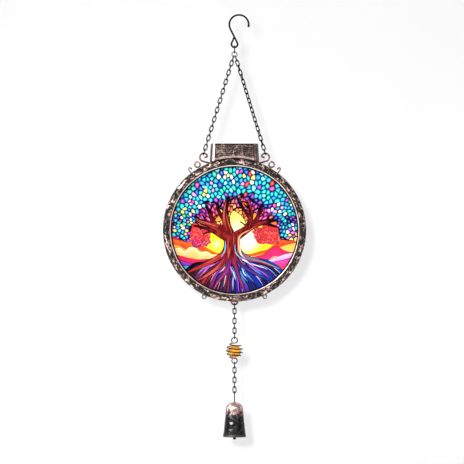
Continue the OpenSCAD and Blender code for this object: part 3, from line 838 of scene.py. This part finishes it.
ROOTS = [
    [(-8, -17, 6), (-12, -26, 6), (-22, -33, 5), (-36, -40, 3.6), (-52, -47, 1.6)],
    [(-6, -18, 6), (-8.5, -29, 6.5), (-18, -41, 5.4), (-32, -51, 3.4), (-44, -57, 1.6)],
    [(-4, -19, 6), (-5.5, -32, 6), (-9, -45, 4.6), (-18, -57, 3), (-24, -68, 1.4)],
    [(3, -15, 4), (6.5, -25, 4.6), (17, -32, 4), (32, -36, 3), (50, -43, 1.6)],
    [(1, -18, 5.4), (3, -30, 5.6), (11, -41, 4.4), (26, -50, 3), (42, -57, 1.4)],
    [(-1.5, -19, 5.6), (-1, -33, 5.6), (3, -47, 4), (8, -60, 2.6), (12, -70, 1.2)],
]
WINDOWS = [
    [(-2.5, -4), (-5, 6), (-5.5, 15), (-2, 22), (3, 20), (9, 15.5), (13, 8), (11.5, 1.5), (4, -3.5)],
    [(-31, 2.5), (-24, 2), (-15.5, -3.5), (-16.5, -6.5), (-22, -4.5)],
    [(20, 8), (24, 10), (26, 16), (22.5, 20), (20, 15)],
    [(11, 24.5), (14, 26), (13.5, 32), (10, 35.5), (8, 29)],
    [(-16, 9), (-13, 13), (-15, 18), (-20, 15), (-22, 9.5)],
]
WINDOW_INKS = [
    (WHITE_HOT, (1.0, 0.9, 0.12)), ((1.0, 0.95, 0.35), (1.0, 0.8, 0.06)),
    ((1.0, 0.62, 0.08), (0.95, 0.3, 0.05)), ((0.95, 0.25, 0.07), (0.8, 0.06, 0.1)),
    ((1.0, 0.5, 0.12), (0.9, 0.16, 0.06)),
]
ROOT_INKS = [(0.5, 0.05, 0.04), (0.3, 0.03, 0.06), (0.3, 0.04, 0.3), (0.08, 0.3, 0.5), (0.02, 0.06, 0.32),
             (0.06, 0.03, 0.25)]
TRUNK_LIGHTS = [
    ([(8.6, -30, 0.4), (5.4, -24, 1.3), (4.6, -15, 1.7), (5.4, -8, 1.5), (10, -3.4, 0.9), (17, 0, 0.4)],
     (0.98, 0.5, 0.28)),
    ([(12, -32, 0.3), (7.6, -27, 0.8), (6.3, -19, 0.7), (6.6, -10, 0.3)], (0.95, 0.85, 0.8)),
    ([(-15, -30, 0.4), (-11.2, -24, 1.5), (-10.3, -18, 1.4), (-10.2, -12, 0.4)], (0.2, 0.45, 0.72)),
    ([(9, -33, 0.5), (2.4, -27, 1.2), (0.6, -21, 0.9), (0.4, -16, 0.3)], (0.2, 0.48, 0.78)),
]
GRAIN_INKS = [(0.5, 0.05, 0.04), (0.4, 0.03, 0.035), (0.05, 0.005, 0.015), (0.7, 0.16, 0.11)]
# far to near: the top edge, its colour, the colour below it
HILLS = [
    ([(-72, -9), (-60, -12), (-48, -15), (-36, -17), (-24, -24), (-12, -28)],
     (0.95, 0.2, 0.03), (0.85, 0.04, 0.04)),
    ([(-72, -15), (-62, -17), (-52, -22), (-40, -22), (-28, -26), (-12, -30)],
     (1.0, 0.36, 0.07), (0.98, 0.5, 0.16)),
    ([(-72, -24), (-66, -20), (-60, -19.5), (-56, -23), (-50, -19), (-43, -19.5), (-38, -24), (-31, -23.5),
      (-24, -27), (-16, -27), (-10, -31)], (1.0, 0.75, 0.42), (1.0, 0.5, 0.2)),
    ([(-72, -27), (-62, -28.5), (-52, -31), (-41, -33), (-30, -32.5), (-12, -33)],
     (0.85, 0.04, 0.12), (0.6, 0.02, 0.14)),
    ([(-72, -33), (-60, -34), (-48, -37), (-36, -38.5), (-22, -36), (-10, -34)],
     (0.4, 0.06, 0.55), (0.08, 0.06, 0.5)),
    ([(-72, -38), (-58, -40), (-47, -40), (-38, -42), (-24, -40), (-10, -36)],
     (0.04, 0.62, 0.75), (0.02, 0.25, 0.45)),
    ([(5, -24), (16, -27), (28, -24), (38, -21), (48, -13), (60, -9), (72, -5)],
     (0.95, 0.16, 0.03), (0.85, 0.05, 0.03)),
    ([(5, -27), (18, -29), (32, -26), (44, -21.5), (56, -17), (72, -13)],
     (1.0, 0.55, 0.12), (0.98, 0.62, 0.2)),
    ([(12, -31), (24, -29.5), (34, -26), (42, -19.5), (48, -18.5), (56, -23), (64, -25), (72, -24)],
     (0.85, 0.04, 0.12), (0.8, 0.05, 0.24)),
    ([(10, -34), (24, -34), (38, -33), (50, -29), (60, -26), (72, -24)],
     (0.88, 0.62, 0.88), (0.6, 0.12, 0.6)),
    ([(10, -36), (26, -37), (40, -36), (52, -34), (62, -31), (72, -29)], (0.75, 0.1, 0.5), (0.9, 0.08, 0.12)),
]
LIT_HILLS = (0, 1, 2, 6, 7)  # the ones drawn with a brown line, not a black one


def bark_ink(x, z, t, side):
    """Red-brown wood, nearly black in the boughs' ends."""
    warm, dark = (0.2, 0.012, 0.018), (0.01, 0.003, 0.008)
    high = smoothstep(6, 27, z) + smoothstep(24, 42, abs(x))
    base = blend(warm, dark, high)
    streak = hills(x * 2.2, 0, z * 0.5, 5)
    base = blend(base, (0.42, 0.06, 0.035), smoothstep(0.1, 0.5, streak) * (1 - min(high, 1)) * 0.7)
    return blend(base, dark, smoothstep(0.1, 0.6, -streak) * 0.7)


def root_ink(end):
    """Wood that turns into a colour of the ground."""
    return lambda x, z, t, side: blend(bark_ink(x, z, t, side), end, smoothstep(0.12, 0.55, t))


STEPS = 22


def root_line(t):
    """A flow line of the ground from the trunk to the rim: t is 0 at the far left and 1 at the far right."""
    start = np.array([-13 + 20 * t, -28 - 5 * sin(pi * t)])
    end = np.array(polar(ART_R, radians(219 + 101 * t)))
    drop = start + np.array([(t - 0.5) * 10, -8 - 3 * sin(pi * t)])
    lead = end * 0.7 + np.array([0, 7 * (abs(t - 0.5) * 2) ** 1.5])
    aside = np.array([-end[1], end[0]]) / ART_R
    out = []
    for i in range(STEPS + 1):
        s = i / STEPS
        p = (1 - s) ** 3 * start + 3 * s * (1 - s) ** 2 * drop + 3 * s * s * (1 - s) * lead + s ** 3 * end
        out.append(p + aside * 5 * sin(pi * min(s * 1.2, 1)) * hills(t * 8, s * 2.4, 0, 1.0))
    return out


GROUND_LEFT = [(0.01, 0.09, 0.1), (0.2, 0.012, 0.02), (0.45, 0.035, 0.025), (0.015, 0.015, 0.09),
               (0.22, 0.015, 0.13), (0.03, 0.008, 0.02), (0.01, 0.01, 0.03)]
GROUND_RIGHT = [(0.006, 0.012, 0.14), (0.006, 0.03, 0.4), (0.012, 0.14, 0.5), (0.03, 0.008, 0.24),
                (0.14, 0.015, 0.4), (0.004, 0.005, 0.03), (0.004, 0.008, 0.07), (0.01, 0.06, 0.45)]
GLINTS_LEFT = [(0.75, 0.3, 0.6), (0.85, 0.2, 0.12), (0.9, 0.55, 0.45), (0.4, 0.08, 0.6), (0.15, 0.5, 0.5)]
GLINTS_RIGHT = [(0.25, 0.5, 0.9), (0.9, 0.85, 0.82), (0.7, 0.12, 0.7), (0.12, 0.35, 0.75), (0.5, 0.7, 0.9)]


def ground_colour(rng, t, left, right):
    return rng.choice(left if rng.random() > smoothstep(0.2, 0.62, t) else right)


def paint_far(art, rng):
    """Sky, hills and clouds."""
    rings, spokes = 44, 140
    outline = [polar(r, a) for r in np.linspace(0.02 * ART_R, ART_R, rings)
               for a in np.linspace(0, 2 * pi, spokes, endpoint=False)]
    faces = grid_faces(rings, spokes, close_columns=True) + [tuple(reversed(range(spokes)))]
    art.add(outline, faces, [sky(x, z) for x, z in outline])
    for number, (edge, above, below) in enumerate(HILLS):
        top = curve_through(edge, 6)
        outline, inks = [], []
        for x, z in top:
            for s in (0.0, 0.25, 0.6, 1.0):
                outline.append((x, z - 11 * s))
                inks.append(blend(above, below, s * 1.3 + 0.35 * hills(x, number, z, 6)))
        art.add(inside_ring(outline), grid_faces(len(top), 4), inks)
        line = (0.25, 0.04, 0.03) if number in LIT_HILLS else INK_EDGE
        art.add(*ribbon([(x, z, 0.5) for x, z in edge], plain_ink(line)))


BUSHES = [(-39, -8, 13, 11.5), (38, -5, 17, 11.5)]
BUSH_INKS = [(0.9, 0.09, 0.05), (0.42, 0.01, 0.04), (0.72, 0.02, 0.08), (0.75, 0.04, 0.2), (0.95, 0.2, 0.1),
             (0.3, 0.01, 0.05)]


def paint_bushes(art, rng):
    """Two red bushes under the ends of the boughs."""
    for x0, z0, wide, high in BUSHES:
        outline = []
        for i in range(26):
            a = 2 * pi * i / 26
            reach = 1 + 0.1 * sin(5 * a + x0) + 0.05 * sin(11 * a) + 0.035 * (-1) ** i
            outline.append((x0 + wide * reach * cos(a), z0 + high * reach * sin(a)))

        def ink(x, z):
            cool = smoothstep(2, -8, z - z0) if x0 < 0 else 0.0
            return blend((0.85, 0.05, 0.04), (0.5, 0.02, 0.22), cool + 0.5 * hills(x, 0, z, 4))

        def far(x, z):
            return hypot((x - x0) / wide, (z - z0) / high)

        art.add(*blob(outline, ink))
        sites = scattered(rng, lambda x, z: 1.7, lambda x, z: far(x, z) < 1.1,
                          (x0 - 20, z0 - 15, x0 + 20, z0 + 15), 3600)
        art.add(*mosaic(sites, lambda x, z: far(x, z) < 0.96 and rng.random() < 0.75,
                        lambda x, z: rng.choice(BUSH_INKS), 0.16, 0.006,
                        lambda x, z: (hills(x, 4, z, 6) * 3, 1.5), 2.2))


def paint_panes(art, rng):
    """The dark leaded panes between the boughs, and the bright windows in the forks."""
    def dark(x, z, t):
        return blend((0.03, 0.004, 0.02), (0.008, 0.008, 0.05), t)

    art.add(*curtain(bough_line, lambda x: canopy_edge(x) + 5, -47, 47, 60, 8, dark))

    def kept(x, z):
        return bough_line(x) + 0.5 < z < canopy_edge(x) + 2.5 and abs(x) < 46

    def ink(x, z):
        d = hypot(x - 1, (z - 8) * 0.8)
        base = rng.choice(PANES if rng.random() < smoothstep(13, 27, d) else WARM_PANES)
        return blend(base, (0.3, 0.03, 0.42), 0.75 * smoothstep(9, 0, canopy_edge(x) - z))

    def grain(x, z):
        return atan2(z + 10, x + 2), 2.0 + 0.5 * hills(x, 6, z, 7)

    def wanted(x, z):
        return bough_line(x) - 5 < z < canopy_edge(x) + 7 and abs(x) < 52

    sites = scattered(rng, lambda x, z: 3.9, wanted, (-52, -8, 52, 46), 6000)
    art.add(*mosaic(sites, kept, ink, 0.55, 0.006, grain))
    for outline, (hot, warm) in zip(WINDOWS, WINDOW_INKS):
        xs, zs = zip(*outline)
        middle_x, low, high = np.mean(xs), min(zs), max(zs)

        def window_ink(x, z):
            return blend(hot, warm, (z - low) / (high - low) + 0.04 * abs(x - middle_x))

        art.add(*blob(outline, window_ink, 0.9))


def paint_ground(art, rng):
    """The ground's streams of colour, which run from the roots to the rim."""
    columns = 25
    lines = [root_line(i / (columns - 1)) for i in range(columns)]
    outline = [p for line in zip(*lines) for p in line]
    art.add(inside_ring(outline), grid_faces(STEPS + 1, columns), [(0.003, 0.004, 0.02)] * len(outline))
    streams, strands = 84, []
    for i in range(streams):
        t = 0.01 + 0.98 * i / (streams - 1)
        line = root_line(t)
        first, last = rng.randint(0, 9), rng.choice((15, 18) + (STEPS,) * 4)
        base, tip = (ground_colour(rng, t, GROUND_LEFT, GROUND_RIGHT) for _ in range(2))
        widest = rng.uniform(1.5, 3.6)
        spine = []
        for k in range(first, last + 1):
            swell = min((k - first) / 5, 1.0) if last == STEPS else abs(bulge(k, first, last))
            spine.append((*line[k], 0.3 + widest * swell * (0.4 + k / 20)))

        def ink(x, z, s, side):
            return blend(blend(base, tip, s), (0.5, 0.5, 0.9), 0.05 * (1 - abs(side)))

        strands.append(ribbon(spine, ink, edge=0.42, per_span=2))
    art.add_group(strands, 9)
    glints = []
    for t in sorted(rng.uniform(0.02, 0.98) for _ in range(80)):
        line = root_line(t)
        first = rng.randint(1, 13)
        last = min(first + rng.randint(4, 10), STEPS)
        shade = ground_colour(rng, t, GLINTS_LEFT, GLINTS_RIGHT)
        widest = rng.uniform(0.3, 0.85)
        spine = [(*line[k], 0.15 + widest * bulge(k, first, last)) for k in range(first, last + 1)]
        glints.append(ribbon(spine, plain_ink(shade), per_span=2))
    art.add_group(glints, 7)


def twigs_of(limb, rng):
    line = curve_through(limb, 6)
    for i in range(8, len(line) - 2, 3):
        x, z, width = line[i]
        dx, dz = line[i + 1][:2] - line[i - 1][:2]
        heading = atan2(dz, dx) + rng.choice([-1, 1]) * rng.uniform(0.5, 0.95)
        if sin(heading) < -0.3:
            continue
        reach, bend, w = rng.uniform(6, 13), rng.uniform(-0.6, 0.6), min(width * 0.45, 1.5)
        yield [(x, z, w), (x + reach * 0.5 * cos(heading), z + reach * 0.5 * sin(heading), w * 0.7),
               (x + reach * cos(heading + bend), z + reach * sin(heading + bend), 0.3)]


def paint_tree(art, rng):
    """Outlines of all the wood, then its fill, so that boughs join without a line, then its grain."""
    twigs = [twig for limb in LIMBS for twig in twigs_of(limb, rng)]
    wood = twigs + LIMBS + ROOTS + [TRUNK]
    art.add_group([ribbon(spine, plain_ink(INK_EDGE), grow=0.5) for spine in wood], 8)
    art.add_group([ribbon(twig, bark_ink) for twig in twigs], 8)
    for spine in LIMBS + [TRUNK]:
        art.add(*ribbon(spine, bark_ink))
    for root, end in zip(ROOTS, ROOT_INKS):
        art.add(*ribbon(root, root_ink(end)))
    grain = []
    for spine in [TRUNK, TRUNK, *LIMBS[:2], LIMBS[4], LIMBS[5], *ROOTS]:
        line = curve_through(spine, 6)
        side = sideways(line[:, :2])
        for _ in range(6):
            offset, first = rng.uniform(-0.42, 0.42), rng.randint(0, len(line) // 2)
            last = min(first + rng.randint(7, 16), len(line) - 1)
            shade = rng.choice(GRAIN_INKS)
            streak = [(*(line[i][:2] + side[i] * line[i][2] * offset), 0.65 * bulge(i, first, last) + 0.1)
                      for i in range(first, last + 1, 2)]
            grain.append(ribbon(streak, plain_ink(shade)))
    art.add_group(grain, 14)
    for spine, shade in TRUNK_LIGHTS:
        art.add(*ribbon(spine, plain_ink(shade)))


def paint_leaves(art, rng):
    """The canopy's bright cells on a dark ground, deep blue along its lower edge."""
    art.add(*curtain(lambda x: min(canopy_edge(x), rim(x)), rim, -ART_R * 0.999, ART_R * 0.999, 150, 4,
                     lambda x, z, t: blend((0.006, 0.004, 0.03), (0.004, 0.012, 0.04), t)))

    def gap(x, z):
        return 3.1 + 1.3 * smoothstep(5, 45, z) + 0.45 * hills(x, 5, z, 10)

    def ink(x, z):
        if z - canopy_edge(x) < 6.5 and abs(x) < 46 and rng.random() < 0.7:
            return rng.choice(DEEP)
        # the canopy's low ends are darker and more mixed
        if rng.random() < 0.55 * smoothstep(36, 46, abs(x)) * smoothstep(26, 12, z):
            return rng.choice(DEEP + ACCENTS)
        return pick(rng, LEAVES)

    def grain(x, z):
        return atan2(z + 5, x) + 1.1 * hills(x, 9, z, 9), 1.35 + 0.45 * hills(x, 2, z, 6)

    def wanted(x, z):
        return z > canopy_edge(x) - 8 and hypot(x, z) < ART_R + 6

    def kept(x, z):
        return z > canopy_edge(x) + 0.2 and hypot(x, z) < ART_R

    sites = scattered(rng, gap, wanted, (-80, -25, 80, 80), 26000)
    art.add(*mosaic(sites, kept, ink, 0.58, 0.012, grain))


LAYER_ROOM = 0.146  # how far behind the print's front the first layer lies


def build_art():
    rng = random.Random(41)
    art = Art(PRINT_FRONT + LAYER_ROOM)
    for paint in (paint_far, paint_bushes, paint_panes, paint_ground, paint_tree, paint_leaves):
        paint(art, rng)
    spokes = 180
    border = [polar(r, 2 * pi * i / spokes) for r in (SIGHT_R - 1.0, ART_R) for i in range(spokes)]
    art.add(border, grid_faces(2, spokes, close_columns=True), [INK_EDGE] * len(border))
    if art.depth < PRINT_FRONT:
        raise ValueError(f"the picture's layers come {PRINT_FRONT - art.depth:.4f} mm too far forward")
    front = np.array(art.points)
    back = front * (1, -1, 1) + (0, PRINT_FRONT + PRINT_BACK, 0)
    inks = 0.88 * np.array(art.inks) ** 1.22  # printed a little deeper than mixed
    for name, points, faces, stood_for in (
        ("tree_picture", front, [f[::-1] for f in art.faces], ["picture_print"]),
        ("tree_picture_back", back, art.faces, ()),
    ):
        piece(name, points, faces, "picture", "plaque", stood_for, 0, {"ink": inks}, (0, 0, RING_Z))


build_art()


# --- bead and cage ---
CAGE_R, CAGE_HALF, CAGE_TURNS, CAGE_WIRE = 9.0, 8.2, 4.5, 1.2
LOOP_R, LOW_LOOP_R, LOOP_OPEN, LOOP_TO_SPIRAL = 3.3, 3.0, radians(50), 1.1
WIRE_SIDES = 14


def joined(p0, t0, p1, t1, steps=9):
    """Points between two ends that leave with the given directions."""
    out = []
    for i in range(1, steps):
        s = i / steps
        out.append((2 * s ** 3 - 3 * s * s + 1) * p0 + (s ** 3 - 2 * s * s + s) * t0
                   + (3 * s * s - 2 * s ** 3) * p1 + (s ** 3 - s * s) * t1)
    return out


def build_cage():
    top = box_mm("bead_cage")[1][2] - CAGE_WIRE / 2
    loop_z = top - LOOP_R
    cage_z = loop_z - LOOP_R * cos(LOOP_OPEN) - LOOP_TO_SPIRAL - CAGE_HALF
    low_z = cage_z - CAGE_HALF - LOOP_TO_SPIRAL - LOW_LOOP_R * cos(LOOP_OPEN)

    def loop(z, r, a):
        return np.array([r * sin(a), 0, z + r * cos(a)])

    def loop_dir(a):
        return np.array([cos(a), 0, -sin(a)])

    def spiral(s):
        h = CAGE_HALF * (1 - 2 * s)
        r, a = sqrt(CAGE_R ** 2 - h * h), pi / 2 + 2 * pi * CAGE_TURNS * s
        return np.array([r * cos(a), r * sin(a), cage_z + h])

    turn = 2 * pi - 2 * LOOP_OPEN
    steps = 40
    path = [loop(loop_z, LOOP_R, -pi + LOOP_OPEN + i * turn / steps) for i in range(steps + 1)]
    path += joined(path[-1], 4 * loop_dir(pi - LOOP_OPEN), spiral(0), 4 * np.array([-1, 0, -0.1]))
    path += [spiral(i / 200) for i in range(201)]
    low = [loop(low_z, LOW_LOOP_R, LOOP_OPEN + i * turn / steps) for i in range(steps + 1)]
    path += joined(spiral(1), 4 * np.array([1, 0, -0.1]), low[0], 4 * loop_dir(LOOP_OPEN))
    points, faces = tube(path + low, CAGE_WIRE / 2 * 0.995, WIRE_SIDES)
    piece("wire_cage", points, faces, "black_wire", "bead_cage", ["bead_cage"], sharp=50)


build_cage()


def ball(centre, r, rings, sides):
    """Points and faces of a ball with its poles up and down."""
    points = [(0, 0, r)]
    for i in range(1, rings):
        a = pi * i / rings
        points += [(*polar(r * sin(a), 2 * pi * k / sides), r * cos(a)) for k in range(sides)]
    points.append((0, 0, -r))
    last = len(points) - 1
    faces = [(0, 1 + k, 1 + (k + 1) % sides) for k in range(sides)]
    for i in range(rings - 2):
        for k in range(sides):
            a, b = 1 + i * sides + k, 1 + i * sides + (k + 1) % sides
            faces.append((a, a + sides, b + sides, b))
    faces += [(last, last - sides + (k + 1) % sides, last - sides + k) for k in range(sides)]
    return np.array(points) + np.asarray(centre, dtype=float), faces


def build_bead():
    box = box_mm("glass_bead")
    centre, r = box.mean(axis=0), span(box, 2) / 2
    points, faces = ball((0, 0, 0), 1.0, 40, 60)
    for i, p in enumerate(points):
        p = p / np.linalg.norm(p)
        points[i] = centre + p * r * (1 - 0.012 * (0.5 + 0.5 * hills(*(p * 7), 3.5)))
    piece("amber_bead", points, faces, "amber_glass", "glass_bead", ["glass_bead"])
    # swirls and seed bubbles in the glass
    rng = random.Random(5)
    shapes = []
    for turn in range(3):
        path = []
        for i in range(26):
            s = i / 25
            reach = r * (0.2 + 0.5 * sin(pi * s))
            path.append(centre + (*polar(reach, 2.4 * turn + 4.2 * s), r * 0.75 * (1 - 2 * s)))
        shapes.append(tube(path, 0.45, 8))
    for _ in range(14):
        at = np.array([rng.gauss(0, 1) for _ in range(3)])
        at = centre + at / np.linalg.norm(at) * r * rng.uniform(0.3, 0.8)
        shapes.append(ball(at, rng.uniform(0.12, 0.3), 6, 8))
    core_points, core_faces = np.zeros((0, 3)), []
    for points, faces in shapes:
        core_faces += [tuple(i + len(core_points) for i in face) for face in faces]
        core_points = np.vstack([core_points, points])
    piece("amber_swirls", core_points, core_faces, "amber_glass", "glass_bead", material=make_amber_core())


build_bead()


# --- the bell ---
RISE, SHOULDER_W, SHOULDER_D, WALL, HOLE = 7.0, 9.8, 6.4, 1.1, 0.95
DENT, WAVE = 0.16, 0.14


def power(v, p):
    return copysign(abs(v) ** p, v)


def build_bell():
    box = box_mm("bell_shell")
    crown_z = box[1][2]
    mouth_w, mouth_d, height = span(box, 0) / 2, span(box, 1) / 2, span(box, 2)

    def level(s, t):
        """s from 0 at the crown's hole, 1 at the shoulder, to 2 at the mouth; t is how deep in the wall."""
        if s < 1:
            a = radians(8 + 82 * s)
            fuller = 0.3 * (1 - sin(a)) * SHOULDER_D * sin(2 * a)
            return (t + (RISE - t) * (1 - cos(a)), (SHOULDER_W - t) * sin(a),
                    (SHOULDER_D - t) * sin(a) + fuller, 2 + 1.2 * sin(a))
        s -= 1
        return (RISE + s * (height - RISE), SHOULDER_W + s * (mouth_w - SHOULDER_W) - t,
                SHOULDER_D + s * (mouth_d - SHOULDER_D) - t, 3.2)

    sides = 120
    places = [i / 18 for i in range(18)] + [1 + i / 44 for i in range(45)]
    points, down, edge = [], [], []
    for skin, order in ((0.0, places), (WALL, places[::-1])):
        for s in order:
            drop, w, d, square = level(s, skin) if s > 0 else (skin, HOLE, HOLE, 2)
            for k in range(sides):
                a = 2 * pi * (k + 0.5) / sides
                x, y = w * power(cos(a), 2 / square), d * power(sin(a), 2 / square)
                z = crown_z - drop
                cut = 0.0
                if skin == 0.0 and s > 0.25:
                    fade = smoothstep(0.25, 0.7, s) * (1 - smoothstep(1.93, 2.0, s))
                    dents = DENT * (1 - hammered((x, y, z), 4.4))
                    cut = fade * (dents + WAVE * (0.5 + 0.5 * hills(x, y, z, 8)))
                shrink = 1 - cut / hypot(x, y)
                points.append((x * shrink, y * shrink, z))
                down.append(drop / height)
                edge.append(smoothstep(1.88, 1.95, s) if skin == 0.0 else 0.0)
    faces = grid_faces(2 * len(places), sides, True, True)
    return piece("cow_bell", points, faces, "bell_metal", "bell", ["bell_shell"], 60,
                 {"down": down, "edge": edge})


bell = build_bell()


# --- scrolls and lugs: cast skins made from their CAD solids ---
def build_scrolls():
    names = [f"{side}_{size}_scroll" for side in ("left", "right") for size in ("large", "middle", "small")]
    for name in names + ["centre_lug", "left_lug", "right_lug", "lug_plate"]:
        points, faces = remeshed(name, 0.22)
        cast = name in ("left_lug", "right_lug")
        slot = "cast_ring" if cast else "copper_scrollwork"
        values = {}
        if cast:
            values = {"relief": [0.38 + 0.4 * hills(*p, 1.6) for p in points],
                      "patch": [0.2 * hills(*p, 4) for p in points]}
        piece(name + "_cast", points, faces, slot, "plaque", [name], values=values)


build_scrolls()


# --- CAD nodes that stay, with their finish ---
for row in frame["record"]["subparts"]:
    for slot in nodes[row["node"]].material_slots:
        slot.material = MATERIALS[row["material_slot"]]


# --- stage and light ---
def sheet(name, corners, material):
    mesh = bpy.data.meshes.new(name)
    mesh.from_pydata(corners, [], [(0, 1, 2, 3)])
    mesh.materials.append(material)
    made = placed(name, mesh)
    return made


WALL_Y, FLOOR_Z, REACH = 0.42, -0.61, 3.0
WALL_GLOW, WHITE = 0.42, (1, 1, 1, 1)
floor_tree, _ = make_plaster("stage_floor", (0.86, 0.86, 0.86))
wall_tree, wall_shader = make_plaster("stage_wall", (0.6, 0.6, 0.6))
# the wall is seen from its front only, so that the chime can be looked at from behind it
wall_shader.inputs["Emission Color"].default_value = WHITE
wall_shader.inputs["Emission Strength"].default_value = WALL_GLOW
seen = wall_tree.add("ShaderNodeBsdfTransparent").outputs[0]
facing = wall_tree.add("ShaderNodeNewGeometry").outputs["Backfacing"]
both = wall_tree.add("ShaderNodeMixShader", {0: facing, 1: wall_shader.outputs[0], 2: seen})
wall_tree.put(wall_tree.out.inputs["Surface"], both.outputs[0])
corners = [(-REACH, -REACH), (REACH, -REACH), (REACH, REACH), (-REACH, REACH)]
sheet("floor", [(x, y, FLOOR_Z) for x, y in corners], floor_tree.material)
wall = sheet("wall", [(x, WALL_Y, max(z, FLOOR_Z)) for x, z in corners], wall_tree.material)
# only the lamp near the camera lights the wall, so that its one soft shadow shows on even white, and the
# pane mirrors none of the others, so that the picture shows from every side
all_but_these = bpy.data.collections.new("all_but_these")
for spared in (wall, nodes["glass_pane"]):
    all_but_these.objects.link(spared)
for spared in all_but_these.collection_objects:
    spared.light_linking.link_state = "EXCLUDE"
bell_only = bpy.data.collections.new("bell_only")
bell_only.objects.link(bell)


def lamp(name, at, aim, size, power, shape="DISK", lights=all_but_these):
    """An area lamp for the objects that a collection says; with None it lights all but isn't mirrored."""
    data = bpy.data.lights.new(name, "AREA")
    data.shape = shape
    data.size = size
    data.energy = power
    made = placed(name, data)
    made.location = at
    made.rotation_euler = (Vector(aim) - Vector(at)).to_track_quat("-Z", "Y").to_euler()
    made.light_linking.receiver_collection = lights
    made.visible_glossy = lights is not None


CENTRE = (0, 0, -0.24)
lamp("key", (-0.75, -1.05, 0.45), CENTRE, 0.5, 18)
lamp("left_strip", (-1.1, -0.6, -0.17), (0, 0, -0.2), 0.4, 5)
lamp("fill", (1.3, -0.9, 0.0), CENTRE, 0.8, 2.5)
lamp("near_camera", (-0.04, -CAM_DISTANCE, -0.2), CENTRE, 0.035, 12, lights=None)
lamp("bell_sheen", (-0.2, -1.15, -0.23), (0, 0, -0.42), 0.34, 7, "SQUARE", bell_only)
lamp("back_fill", (0.3, 0.36, 0.7), (0, 0, -0.3), 0.5, 2)

# The room is bright all round but for the camera's side, so that flat glass has nothing pale to mirror.
world = bpy.data.worlds.new("studio")
world.use_nodes = True
tree = world.node_tree
background = tree.nodes["Background"]
background.inputs["Color"].default_value = WHITE
way = tree.nodes.new("ShaderNodeTexCoord").outputs["Generated"]
split = tree.nodes.new("ShaderNodeSeparateXYZ")
glow = tree.nodes.new("ShaderNodeMapRange")
for key, value in (("From Min", -0.94), ("From Max", -0.6), ("To Min", 0.04), ("To Max", 0.4)):
    glow.inputs[key].default_value = value
path = tree.nodes.new("ShaderNodeLightPath")
plain = tree.nodes.new("ShaderNodeMix")
plain.inputs[3].default_value = 0.9
for source, target in (
    (way, split.inputs[0]),
    (split.outputs["Y"], glow.inputs["Value"]),
    (path.outputs["Is Camera Ray"], plain.inputs[0]),
    (glow.outputs[0], plain.inputs[2]),
    (plain.outputs[0], background.inputs["Strength"]),
):
    tree.links.new(source, target)
scene.world = world
scene.view_settings.view_transform = "Standard"
